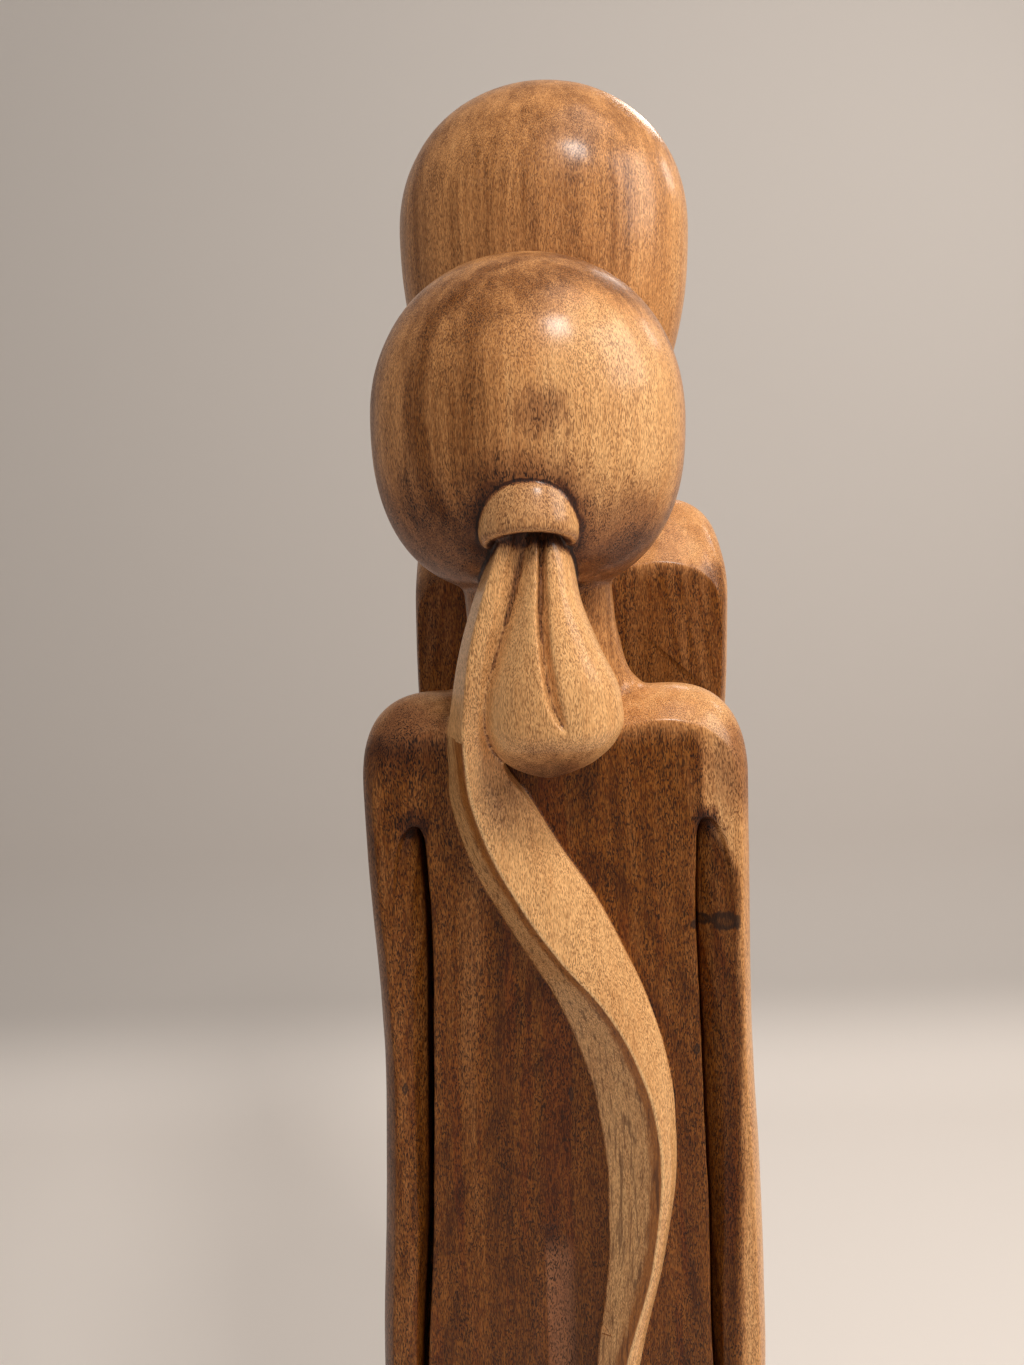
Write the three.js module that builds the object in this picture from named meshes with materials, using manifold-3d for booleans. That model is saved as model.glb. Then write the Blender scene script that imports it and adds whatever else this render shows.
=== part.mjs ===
// A wooden couple: two standing figures carved from one log with their plinth.
// Millimetres, +Z up, origin at the middle of the plinth's underside.
// The woman stands at -Y with her back and her tied hair towards -Y; the man faces her from +Y.
// A figure is built about its own middle, facing +Y, with heights counted from its shoulder.
// A profile is a list of [height, value] rows, read between its rows by along().

import * as THREE from "three";
import { mergeVertices } from "three/addons/utils/BufferGeometryUtils.js";
import Module from "manifold-3d";

const wasm = await Module();
wasm.setup();

const PLINTH = {
  halfWidth: 101,
  halfDepth: 115,
  height: 36,
  topEdge: 6,
  footEdge: 2,
  squareness: 3,
  sides: 56,
};

const WOMAN = { x: -6.6, y: -43, shoulder: 721, width: 1, turnDegrees: 0, capInset: 6, capShift: 0 };
const MAN = { x: 6.6, y: 49, shoulder: 800, width: 0.965, turnDegrees: 180, capInset: 4, capShift: 2 };

// A body with its arms, as a slab: half-width, the sway of its middle, and its share of the full depth.
const BODY_HALF_DEPTH = 28;
const HALF_WIDTH = [
  [0, 79.8], [-69, 79.8], [-114, 79.1], [-142, 79.1], [-208, 81.8], [-300, 85.4], [-350, 85.8],
  [-374, 83.4], [-400, 81], [-460, 79], [-560, 76], [-640, 75], [-700, 78], [-800, 78],
];
const SWAY = [[0, -0.8], [-69, -0.2], [-125, 1.2], [-208, 2.2], [-316, 0.4], [-420, 0], [-800, 0]];
const DEPTH_SHARE = [
  [0, 1], [-90, 1], [-190, 0.95], [-330, 1.06], [-460, 1], [-610, 0.88], [-700, 0.94], [-800, 0.94],
];
const BODY_ROWS = [-70, -105, -145, -190, -235, -280, -320, -350, -363, -374, -420, -480, -540, -600];
// Places between the back (-1) and the chest (+1) where the body's outline is set.
const BODY_STATIONS = [-1, -0.86, -0.6, -0.2, 0.25, 0.65, 0.88, 1];

// The shoulder: its corner in the front view, the dip beside the neck, and the dome's fall to either side.
const CORNER = { innerX: 45, height: 36, rise: 37, power: 2.5, steps: 7 };
const NECK_DIP = { depth: 6, columns: [30, 16, 4] };
const DOME = { apex: -0.2, backFall: 12.4, chestFall: 31.5, backPower: 2, chestPower: 1.35, reach: 110 };

// How far a cutter starts outside the back that it cuts.
const CUT_CLEARANCE = 8;

// The slot between each arm and the torso: an upright wall on the torso and a slope up to the arm.
const SLOT = { top: -51.5, archFoot: -60, depth: 24, kerf: 3.4, slopeDepth: 8, lip: 6, lipDepth: 0.6 };
const SLOT_TORSO_EDGE = [
  [-50, 55], [-90, 53.8], [-150, 55.8], [-215, 58.3], [-300, 62], [-340, 65], [-374, 84],
];
const SLOT_ARM_EDGE = [
  [-50, 62], [-70, 67], [-90, 69.5], [-175, 71.5], [-220, 71], [-270, 70], [-330, 71], [-352, 77],
  [-374, 92],
];
const SLOT_SWAY = [[-50, 0.3], [-125, 0.8], [-219, 0.5], [-292, -1.8], [-374, -2]];
const SLOT_DEPTH_SHARE = [[-51, 0.25], [-58, 0.8], [-70, 1], [-300, 1], [-340, 0.7], [-374, 0.25]];
const SLOT_ROWS = [
  -51.5, -53, -56, -62, -70, -90, -120, -160, -200, -240, -280, -310, -335, -350, -363, -374,
];

// The cleft up the back of the hips, which parts the legs below.
const CLEFT_FLOOR = { place: 0.62, halfWidth: 1.5 };
const CLEFT_LEFT = [[-228, -8], [-240, -10.6], [-290, -12.3], [-420, -14], [-780, -11]];
const CLEFT_RIGHT = [[-228, -6], [-240, 2], [-290, 7], [-420, 13], [-780, 11]];
const CLEFT_DEPTH = [[-228, 0.2], [-240, 2], [-290, 7], [-380, 14], [-640, 15], [-780, 12]];
const CLEFT_ROWS = [-228, -234, -242, -256, -275, -300, -340, -390, -460, -560, -660, -780];

// Heads are plain eggs: their widest level, and their reach up and down from it.
const HEAD_LEVELS = 17;
const HEAD_SIDES = 32;
const WOMAN_HEAD = {
  x: -7.4, y: -7, widest: 107, halfWidth: 62.6, halfDepth: 58, up: 64.2, down: 68, crown: 2.12, chin: 2.5,
};
const MAN_HEAD = {
  x: 7.6, y: -1, widest: 127, halfWidth: 69.3, halfDepth: 58, up: 67.5, down: 112, crown: 2.12, chin: 2.2,
};
// The neck flares into the shoulders and leans towards its head.
const NECK = { sides: 28, squareness: 2.1, height: 60, leanAtFoot: 0.25, leanAtTop: 0.9 };
const NECK_HALF_WIDTH = [
  [-16, 36], [-5, 41], [1, 39.5], [4, 36.2], [8, 34.2], [16, 32.4], [30, 30.6], [46, 30.4], [60, 32],
];
const NECK_HALF_DEPTH = [
  [-16, 18], [-5, 19.5], [1, 21], [4, 22], [8, 23.5], [16, 25], [30, 26.5], [46, 28], [60, 30],
];

// The hair: a band, a bulb of two short locks below it, and a long lock down the back.
const BAND = {
  x: -9.1, y: -52, z: 68.6, radius: 14.6, depthShare: 0.86, halfLength: 9, halfThickness: 3.8,
  tilt: 0.33, sides: 12, turns: 28,
};
const BULB = { back: -24, squareness: 2.35, sides: 24 };
const BULB_ROWS = [70, 60, 50, 40, 30, 22, 13, 4, -3, -9, -14, -18, -22, -25, -27, -28];
const BULB_MIDDLE = [
  [70, -4.5], [60, -3.6], [40, -4.2], [22, -3.4], [4, -2], [-8, -1.6], [-19, -3], [-28, -4.3],
];
const BULB_HALF_WIDTH = [
  [70, 9], [60, 10.8], [40, 13.6], [22, 19.4], [4, 25.4], [-5, 26], [-14, 23.6], [-22, 18], [-26, 12],
  [-28, 5],
];
const BULB_FACE = [
  [70, -60], [60, -62], [40, -65.5], [22, -69], [4, -71.5], [-8, -70.5], [-18, -65], [-28, -50],
];
// The groove between the bulb's locks ends in a comma and grows to its full depth above that.
const GROOVE = { top: 68, tip: -9, width: 4.8, depth: 5.5, lean: -1.5, steps: 14, fadeSteps: 4 };
const GROOVE_MIDDLE = [[68, -4.5], [35, -4.5], [15, -4.2], [4.5, -1.2], [-2, 1.9], [-9, 4.8]];

// The long lock has two edges on the back and a ridge that crosses from the left one to the right.
const LOCK = { top: 64, end: -414, rows: 40, inset: 8, ridgeHalfWidth: 0.6, hollow: 1.6 };
const LOCK_MIDDLE = [
  [64, -18], [40, -24.5], [22, -29.5], [4, -32.6], [-12, -34], [-26, -32.2], [-40, -27.6], [-62, -18.5],
  [-83, -6.9], [-105, 4.7], [-126, 15.2], [-148, 23.2], [-170, 28], [-204, 30.4], [-239, 27.8],
  [-293, 18.6], [-335, 14.5], [-370, 16], [-414, 25],
];
const LOCK_HALF_WIDTH = [
  [64, 4], [40, 6], [4, 7.5], [-26, 11], [-40, 15.6], [-62, 19], [-83, 21], [-126, 18.5], [-193, 14.9],
  [-262, 10.3], [-330, 7.4], [-375, 4.4], [-414, 0.4],
];
const LOCK_RIDGE_PLACE = [
  [64, 0.3], [20, 0.34], [-40, 0.18], [-83, 0.19], [-105, 0.235], [-148, 0.55], [-193, 0.77],
  [-239, 0.77], [-293, 0.6], [-414, 0.5],
];
const LOCK_RIDGE = [
  [64, -62], [40, -62], [22, -60.5], [4, -58], [-26, -51], [-62, -42], [-120, -40.5], [-200, -40],
  [-300, -38], [-414, -29],
];
const LOCK_ROOT = [[64, -46], [22, -44], [-20, -34], [-60, -27], [-414, -27]];
// Above the shoulder the lock's right side stands up beside the bulb.
const LOCK_RIGHT_LIFT = [[64, 0.85], [4, 0.8], [-20, 0.5], [-50, 0], [-414, 0]];

// The web joins the bodies below the gap between them, and ends in a hollow.
const WEB = { halfWidth: 72, top: 508, lipHeight: 8, gapMiddle: 3, halfGap: 18, overlap: 6, steps: 8 };

// Value of a profile at a height, on a smooth curve that doesn't overshoot its rows.
function along(profile, height) {
  const down = profile[0][0] > profile[profile.length - 1][0];
  const rows = down ? [...profile].reverse() : profile;
  const last = rows.length - 1;
  if (height <= rows[0][0]) return rows[0][1];
  if (height >= rows[last][0]) return rows[last][1];
  const i = rows.findIndex((row, k) => k < last && height < rows[k + 1][0]);
  const slope = (k) => (rows[k + 1][1] - rows[k][1]) / (rows[k + 1][0] - rows[k][0]);
  const tangent = (k) => {
    if (k === 0) return slope(0);
    if (k === last) return slope(last - 1);
    const before = slope(k - 1);
    const after = slope(k);
    return before * after <= 0 ? 0 : (2 * before * after) / (before + after);
  };
  const span = rows[i + 1][0] - rows[i][0];
  const t = (height - rows[i][0]) / span;
  return (
    rows[i][1] * (1 + 2 * t) * (1 - t) ** 2 +
    tangent(i) * span * t * (1 - t) ** 2 +
    rows[i + 1][1] * t * t * (3 - 2 * t) -
    tangent(i + 1) * span * t * t * (1 - t)
  );
}

// A closed mesh from rings of equal length, the lowest first, with both ends closed by capFaces.
function loft(rings, capFaces = fanFaces) {
  const count = rings[0].length;
  const faces = [];
  for (let r = 0; r + 1 < rings.length; r++) {
    for (let k = 0; k < count; k++) {
      const a = r * count + k;
      const b = r * count + ((k + 1) % count);
      faces.push([a, b, b + count], [a, b + count, a + count]);
    }
  }
  const top = (rings.length - 1) * count;
  for (const [a, b, c] of capFaces(rings[0])) {
    faces.push([a, c, b]);
  }
  for (const [a, b, c] of capFaces(rings[rings.length - 1])) {
    faces.push([top + a, top + b, top + c]);
  }
  const geometry = new THREE.BufferGeometry();
  geometry.setAttribute("position", new THREE.Float32BufferAttribute(rings.flat(2), 3));
  geometry.setIndex(faces.flat());
  return geometry;
}

function fanFaces(ring) {
  return Array.from({ length: ring.length - 2 }, (_, k) => [0, k + 1, k + 2]);
}

// A body's flat face: level strips between its two sides, and the arched crown above them.
function bodyFaces(ring) {
  const last = ring.length - 1;
  const crownRows = NECK_DIP.columns.length + CORNER.steps - 2;
  const strips = ring.length / 2 - crownRows;
  const faces = [];
  for (let k = 0; k < strips; k++) {
    faces.push([k, k + 1, last - k], [k + 1, last - k - 1, last - k]);
  }
  const crown = ring.map((_, k) => k).slice(strips, last - strips + 1);
  const contour = crown.map((k) => new THREE.Vector2(ring[k][0], ring[k][2]));
  for (const [a, b, c] of THREE.ShapeUtils.triangulateShape(contour, [])) {
    const clockwise = THREE.ShapeUtils.isClockWise([contour[a], contour[b], contour[c]]);
    faces.push((clockwise ? [a, c, b] : [a, b, c]).map((k) => crown[k]));
  }
  return faces;
}

function toSolid(geometry) {
  const bare = geometry.clone();
  bare.deleteAttribute("normal");
  bare.deleteAttribute("uv");
  const merged = mergeVertices(bare, 1e-4);
  return new wasm.Manifold(
    new wasm.Mesh({
      numProp: 3,
      vertProperties: new Float32Array(merged.attributes.position.array),
      triVerts: new Uint32Array(merged.index.array),
    })
  );
}

function toGeometry(solid) {
  const mesh = solid.getMesh();
  const geometry = new THREE.BufferGeometry();
  geometry.setAttribute("position", new THREE.Float32BufferAttribute(mesh.vertProperties, 3));
  geometry.setIndex(Array.from(mesh.triVerts));
  return geometry;
}

// A level superellipse: power 2 is an ellipse, and a higher power is squarer.
function levelRing(z, x, y, halfWidth, halfDepth, power, count) {
  return Array.from({ length: count }, (_, k) => {
    const angle = (2 * Math.PI * k) / count;
    const c = Math.cos(angle);
    const s = Math.sin(angle);
    return [
      x + halfWidth * Math.sign(c) * Math.abs(c) ** (2 / power),
      y + halfDepth * Math.sign(s) * Math.abs(s) ** (2 / power),
      z,
    ];
  });
}

function plinthGeometry() {
  const { halfWidth, halfDepth, height, topEdge, footEdge, squareness, sides } = PLINTH;
  const levels = [
    [0, footEdge],
    [footEdge, 0],
    [height - topEdge, topEdge * 0.1],
    [height - topEdge * 0.3, topEdge * 0.35],
    [height, topEdge],
  ];
  return loft(
    levels.map(([z, inset]) => levelRing(z, 0, 0, halfWidth - inset, halfDepth - inset, squareness, sides))
  );
}

// The right half of a body's outline from the foot up, as half-width and height below the shoulder.
function bodyOutline(foot) {
  const rows = [...BODY_ROWS].reverse().filter((z) => z > foot + PLINTH.height);
  const outline = [foot, ...rows].map((z) => [along(HALF_WIDTH, z), z]);
  const reach = HALF_WIDTH[0][1] - CORNER.innerX;
  for (let k = 0; k <= CORNER.steps; k++) {
    const angle = (k / CORNER.steps) * (Math.PI / 2);
    const power = 2 / CORNER.power;
    outline.push([
      CORNER.innerX + reach * Math.cos(angle) ** power,
      -CORNER.height + CORNER.rise * Math.sin(angle) ** power,
    ]);
  }
  const crest = CORNER.rise - CORNER.height;
  return [...outline, ...NECK_DIP.columns.map((x) => [x, crest])];
}

// How far the shoulder's dome falls at a station between the back and the chest.
function domeFall(station) {
  if (station < DOME.apex) {
    return DOME.backFall * ((DOME.apex - station) / (DOME.apex + 1)) ** DOME.backPower;
  }
  return DOME.chestFall * ((station - DOME.apex) / (1 - DOME.apex)) ** DOME.chestPower;
}

// A body is lofted from back to chest, so its two flat caps meet the shoulder's dome in crisp ridges.
function bodyGeometry(figure) {
  const foot = PLINTH.height / 2 - figure.shoulder;
  const outline = bodyOutline(foot);
  const rings = BODY_STATIONS.map((station) => {
    const inset = figure.capInset * station ** 4;
    const shift = figure.capShift * Math.max(0, station) ** 4;
    const place = (side) => ([half, z]) => {
      const domeShare = Math.min(1, Math.max(0, 1 + z / DOME.reach));
      const nearNeck = z > 0 ? Math.max(0, 1 - half / CORNER.innerX) : 0;
      const dip = NECK_DIP.depth * nearNeck * station ** 2;
      const width = half * figure.width - inset * Math.min(1, half / CORNER.innerX);
      return [
        side * width + along(SWAY, z) + shift,
        station * BODY_HALF_DEPTH * along(DEPTH_SHARE, z),
        figure.shoulder + z - domeFall(station) * domeShare - dip,
      ];
    };
    return [...outline.map(place(1)), ...[...outline].reverse().map(place(-1))];
  });
  return loft(rings.reverse(), bodyFaces);
}

function slotGeometry(side) {
  const outside = -BODY_HALF_DEPTH - CUT_CLEARANCE;
  const archHeight = SLOT.top - SLOT.archFoot + SLOT.lipDepth;
  const rings = [...SLOT_ROWS].reverse().map((z) => {
    const share = along(SLOT_DEPTH_SHARE, z);
    const arch = Math.sqrt(1 - (Math.max(0, z - SLOT.archFoot) / archHeight) ** 2);
    const torso = along(SLOT_TORSO_EDGE, z);
    const arm = along(SLOT_ARM_EDGE, z);
    const middle = (torso + arm) / 2;
    const squeeze = (x) => middle + (x - middle) * arch + along(SLOT_SWAY, z) * side;
    const face = -BODY_HALF_DEPTH * along(DEPTH_SHARE, z);
    const outline = [
      [squeeze(torso), outside],
      [squeeze(arm + SLOT.lip), outside],
      [squeeze(arm), face + SLOT.lipDepth],
      [squeeze(torso + (arm - torso) * 0.6), face + (SLOT.slopeDepth / 3) * share],
      [squeeze(torso + SLOT.kerf), face + SLOT.slopeDepth * share],
      [squeeze(torso + SLOT.kerf * 0.8), face + SLOT.depth * share],
      [squeeze(torso), face + SLOT.depth * share],
    ];
    const ring = outline.map(([x, y]) => [side * x, y, z]);
    return side > 0 ? ring : ring.reverse();
  });
  return loft(rings);
}

function cleftGeometry() {
  const outside = -BODY_HALF_DEPTH - CUT_CLEARANCE;
  const rings = [...CLEFT_ROWS].reverse().map((z) => {
    const left = along(CLEFT_LEFT, z);
    const right = along(CLEFT_RIGHT, z);
    const face = -BODY_HALF_DEPTH * along(DEPTH_SHARE, z);
    const bottom = face + along(CLEFT_DEPTH, z);
    const floor = left + (right - left) * CLEFT_FLOOR.place;
    return [
      [left, outside, z],
      [right, outside, z],
      [right, face, z],
      [floor + CLEFT_FLOOR.halfWidth, bottom, z],
      [floor - CLEFT_FLOOR.halfWidth, bottom, z],
      [left, face, z],
    ];
  });
  return loft(rings);
}

function neckGeometry(head) {
  const rings = NECK_HALF_WIDTH.map(([z, halfWidth]) => {
    const share = Math.max(0, z) / NECK.height;
    const lean = NECK.leanAtFoot + (NECK.leanAtTop - NECK.leanAtFoot) * share;
    const halfDepth = along(NECK_HALF_DEPTH, z);
    return levelRing(z, head.x * lean, head.y * share, halfWidth, halfDepth, NECK.squareness, NECK.sides);
  });
  return loft(rings);
}

function headGeometry(head) {
  const rings = [];
  for (let k = 1; k < HEAD_LEVELS; k++) {
    const level = Math.sin(Math.PI * (k / HEAD_LEVELS - 0.5));
    const power = level > 0 ? head.crown : head.chin;
    const round = (1 - Math.abs(level) ** power) ** (1 / power);
    const z = head.widest + level * (level > 0 ? head.up : head.down);
    const halfWidth = head.halfWidth * round;
    const halfDepth = head.halfDepth * round;
    rings.push(levelRing(z, head.x, head.y, halfWidth, halfDepth, 2, HEAD_SIDES));
  }
  return loft(rings);
}

// The hair band is a broad ring, tipped so that its mouth looks down and back.
function bandGeometry() {
  const { x, y, z, radius, depthShare, halfLength, halfThickness, tilt, sides, turns } = BAND;
  const ring = new THREE.TorusGeometry(radius, 1, sides, turns);
  const position = ring.attributes.position;
  const point = new THREE.Vector3();
  for (let k = 0; k < position.count; k++) {
    point.fromBufferAttribute(position, k);
    const around = Math.atan2(point.y, point.x);
    const reach = radius + (Math.hypot(point.x, point.y) - radius) * halfThickness;
    point.set(Math.cos(around), Math.sin(around) * depthShare, point.z * (halfLength / reach));
    position.setXYZ(k, ...point.multiplyScalar(reach));
  }
  ring.rotateX(-tilt);
  ring.translate(x, y, z);
  return ring;
}

function bulbGeometry() {
  const rings = [...BULB_ROWS].reverse().map((z) => {
    const face = along(BULB_FACE, z);
    const half = along(BULB_HALF_WIDTH, z);
    const y = (face + BULB.back) / 2;
    return levelRing(z, along(BULB_MIDDLE, z), y, half, BULB.back - y, BULB.squareness, BULB.sides);
  });
  return loft(rings);
}

function grooveGeometry() {
  const { top, tip, width, depth, lean, steps, fadeSteps } = GROOVE;
  const rings = [];
  for (let k = 0; k <= steps; k++) {
    const z = tip + ((top - tip) * k) / steps;
    const grown = Math.min(1, 0.06 + k / fadeSteps);
    const middle = along(GROOVE_MIDDLE, z);
    const face = along(BULB_FACE, z);
    const half = (width / 2) * Math.min(1, 0.25 + grown);
    rings.push([
      [middle - half, face - CUT_CLEARANCE, z],
      [middle + half, face - CUT_CLEARANCE, z],
      [middle + half, face - 0.5, z],
      [middle + lean * grown, face + depth * grown, z],
      [middle - half, face - 0.5, z],
    ]);
  }
  return loft(rings);
}

function lockGeometry() {
  const rings = [];
  for (let k = 0; k <= LOCK.rows; k++) {
    const z = LOCK.end + ((LOCK.top - LOCK.end) * k) / LOCK.rows;
    const half = along(LOCK_HALF_WIDTH, z);
    const left = along(LOCK_MIDDLE, z) - half;
    const right = left + 2 * half;
    const ridge = left + 2 * half * along(LOCK_RIDGE_PLACE, z);
    const root = along(LOCK_ROOT, z);
    const crest = along(LOCK_RIDGE, z);
    const rightTop = root + (crest - root) * along(LOCK_RIGHT_LIFT, z);
    rings.push([
      [left, root, z],
      [ridge - LOCK.ridgeHalfWidth, crest + LOCK.ridgeHalfWidth / 2, z],
      [ridge + LOCK.ridgeHalfWidth, crest, z],
      [(ridge + right) / 2 + LOCK.ridgeHalfWidth, (crest + rightTop) / 2 - LOCK.hollow, z],
      [right, rightTop, z],
      [right, root + 1, z],
      [right, root + LOCK.inset, z],
      [left, root + LOCK.inset, z],
    ]);
  }
  return loft(rings);
}

function webGeometry() {
  const { halfWidth, top, lipHeight, gapMiddle, halfGap, overlap, steps } = WEB;
  const foot = PLINTH.height / 2;
  const lip = top + lipHeight;
  const near = gapMiddle - halfGap - overlap;
  const far = gapMiddle + halfGap + overlap;
  const outline = [[near, foot], [far, foot], [far, lip], [far - overlap, lip]];
  for (let k = 0; k <= steps; k++) {
    const angle = (Math.PI * k) / steps;
    outline.push([gapMiddle + halfGap * Math.cos(angle), top - halfGap * Math.sin(angle)]);
  }
  outline.push([near + overlap, lip], [near, lip]);
  const shape = new THREE.Shape(outline.map(([y, z]) => new THREE.Vector2(y, z)));
  const geometry = new THREE.ExtrudeGeometry(shape, { depth: 2 * halfWidth, bevelEnabled: false });
  geometry.translate(0, 0, -halfWidth);
  const acrossToY = new THREE.Vector3(0, 1, 0);
  const upToZ = new THREE.Vector3(0, 0, 1);
  const depthToX = new THREE.Vector3(1, 0, 0);
  geometry.applyMatrix4(new THREE.Matrix4().makeBasis(acrossToY, upToZ, depthToX));
  return geometry;
}

function figureSolid(figure, head, hair) {
  const atShoulder = (geometry) => toSolid(geometry.translate(0, 0, figure.shoulder));
  let solid = toSolid(bodyGeometry(figure));
  for (const cutter of [slotGeometry(1), slotGeometry(-1), cleftGeometry()]) {
    solid = solid.subtract(atShoulder(cutter));
  }
  for (const piece of [neckGeometry(head), headGeometry(head), ...hair]) {
    solid = solid.add(atShoulder(piece));
  }
  return solid.rotate([0, 0, figure.turnDegrees]).translate([figure.x, figure.y, 0]);
}

function tiedHair() {
  const bulb = toSolid(bulbGeometry()).subtract(toSolid(grooveGeometry()));
  return [toGeometry(bulb), bandGeometry(), lockGeometry()];
}

const woman = figureSolid(WOMAN, WOMAN_HEAD, tiedHair());
const man = figureSolid(MAN, MAN_HEAD, []);
const carving = woman.add(man).add(toSolid(webGeometry())).add(toSolid(plinthGeometry()));

const wood = new THREE.MeshStandardMaterial({ color: 0xa8703f, roughness: 0.42, metalness: 0 });
const statue = new THREE.Mesh(toGeometry(carving), wood);
statue.name = "couple_statue";

const group = new THREE.Group();
group.add(statue);

export default group;
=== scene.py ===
# A wooden couple: two plain standing figures carved from one log with their plinth.
# The forms are drawn in millimetres and made in metres, +Z up, with the plinth's underside at zero.

import math

import bmesh
import bpy
import numpy as np
from mathutils import Matrix, Vector


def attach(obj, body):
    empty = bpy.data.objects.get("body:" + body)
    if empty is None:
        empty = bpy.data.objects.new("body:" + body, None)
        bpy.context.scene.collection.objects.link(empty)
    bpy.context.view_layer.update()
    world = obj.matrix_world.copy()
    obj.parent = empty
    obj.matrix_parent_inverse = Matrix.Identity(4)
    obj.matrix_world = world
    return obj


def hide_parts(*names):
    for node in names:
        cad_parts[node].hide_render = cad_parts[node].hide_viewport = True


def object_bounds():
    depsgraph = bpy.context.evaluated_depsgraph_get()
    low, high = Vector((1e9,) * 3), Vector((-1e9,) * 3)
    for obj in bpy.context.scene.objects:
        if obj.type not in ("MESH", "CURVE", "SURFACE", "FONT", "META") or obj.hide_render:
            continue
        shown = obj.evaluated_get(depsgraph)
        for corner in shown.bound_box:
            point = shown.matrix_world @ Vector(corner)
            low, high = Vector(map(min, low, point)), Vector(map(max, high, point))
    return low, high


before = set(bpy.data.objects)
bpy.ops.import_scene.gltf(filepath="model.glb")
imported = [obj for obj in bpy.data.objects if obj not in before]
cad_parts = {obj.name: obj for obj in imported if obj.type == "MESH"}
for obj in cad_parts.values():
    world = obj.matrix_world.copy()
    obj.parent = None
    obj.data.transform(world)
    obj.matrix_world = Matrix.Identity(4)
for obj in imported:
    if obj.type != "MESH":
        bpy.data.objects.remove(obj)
cad_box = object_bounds()

MM = 0.001
BODY = "root"
NODE = "couple_statue"
WOOD_SLOT = "waxed_wood"

# The figures, by the middle of each body, with heights counted from the shoulder.

PLINTH = dict(
    half_width=101, half_depth=115, height=36, top_edge=6, foot_edge=2, squareness=3, sides=120,
    edge_steps=8,
)
WOMAN = dict(x=-6.6, y=-43, shoulder=721, width=1, turn=0, cap_inset=6, cap_shift=0)
MAN = dict(x=6.6, y=49, shoulder=800, width=0.965, turn=180, cap_inset=4, cap_shift=2)

BODY_HALF_DEPTH = 28
HALF_WIDTH = [
    (0, 79.8), (-69, 79.8), (-114, 79.1), (-142, 79.1), (-208, 81.8), (-300, 85.4), (-350, 85.8),
    (-374, 83.4), (-400, 81), (-460, 79), (-560, 76), (-640, 75), (-700, 78), (-800, 78),
]
SWAY = [(0, -0.8), (-69, -0.2), (-125, 1.2), (-208, 2.2), (-316, 0.4), (-420, 0), (-800, 0)]
DEPTH_SHARE = [
    (0, 1), (-90, 1), (-190, 0.95), (-330, 1.06), (-460, 1), (-610, 0.88), (-700, 0.94), (-800, 0.94),
]
BODY_ROW_STEP = 8
BODY_STATIONS = 36
CORNER = dict(inner_x=45, height=36, rise=37, power=2.5, steps=20)
NECK_DIP = dict(depth=6, columns=(40, 34, 28, 22, 16, 10, 4))
DOME = dict(apex=-0.2, back_fall=12.4, chest_fall=31.5, back_power=2, chest_power=1.35, reach=110)

CUT_CLEARANCE = 8
SLOT = dict(
    top=-51.5, arch_foot=-60, depth=24, slope_depth=8, lip=6, arch_lip=0.6, bend_place=0.6, bend_depth=2,
    floor_share=0.8, rows=160,
)
# The narrow cut at the foot of the slope, by the side that the arm is on.
SLOT_KERF = {-1: 2.9, 1: 2.2}
SLOT_FOOT = -374
SLOT_TORSO_EDGE = [
    (-50, 55), (-90, 53.8), (-150, 55.8), (-215, 58.3), (-300, 62), (-340, 65), (-374, 84),
]
SLOT_ARM_EDGE = [
    (-50, 62), (-70, 67), (-90, 69.5), (-175, 71.5), (-220, 71), (-270, 70), (-330, 71), (-352, 77),
    (-374, 92),
]
SLOT_SWAY = [(-50, 0.3), (-125, 0.8), (-219, 0.5), (-292, -1.8), (-374, -2)]
SLOT_DEPTH_SHARE = [(-51, 0.45), (-56, 0.85), (-66, 1), (-300, 1), (-340, 0.7), (-374, 0.25)]
SLOT_LIP_DEPTH = [(-51, 2.6), (-62, 3), (-78, 1.6), (-100, 0.6), (-374, 0.6)]

CLEFT = dict(top=-228, foot=-780, floor_place=0.5, floor_half=2.5, rows=60)
CLEFT_LEFT = [(-228, -13), (-240, -16.4), (-290, -17.6), (-420, -17), (-780, -12)]
CLEFT_RIGHT = [(-228, -6), (-240, 2), (-290, 7), (-420, 13), (-780, 11)]
CLEFT_DEPTH = [(-228, 0.2), (-240, 1.6), (-290, 6), (-380, 12.5), (-640, 14), (-780, 12)]

HEAD_LEVELS = 72
HEAD_SIDES = 96
WOMAN_HEAD = dict(
    x=-7.4, y=-7, widest=107, half_width=62.6, half_depth=58, up=64.2, down=68, crown=2.12, chin=2.5,
)
MAN_HEAD = dict(
    x=7.6, y=-1, widest=127, half_width=69.3, half_depth=58, up=66, down=112, crown=2.12, chin=2.2,
)
NECK = dict(sides=64, squareness=2.1, foot=-16, height=60, rows=40, lean_at_foot=0.25, lean_at_top=0.9)
NECK_HALF_WIDTH = [
    (-16, 36), (-5, 41), (1, 39.5), (4, 36.2), (8, 34.2), (16, 32.4), (30, 30.6), (46, 30.4), (60, 32),
]
NECK_HALF_DEPTH = [
    (-16, 18), (-5, 19.5), (1, 21), (4, 22), (8, 23.5), (16, 25), (30, 26.5), (46, 28), (60, 30),
]

# The tied hair: a band, a bulb of two short locks, and one long lock down the back.

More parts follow.
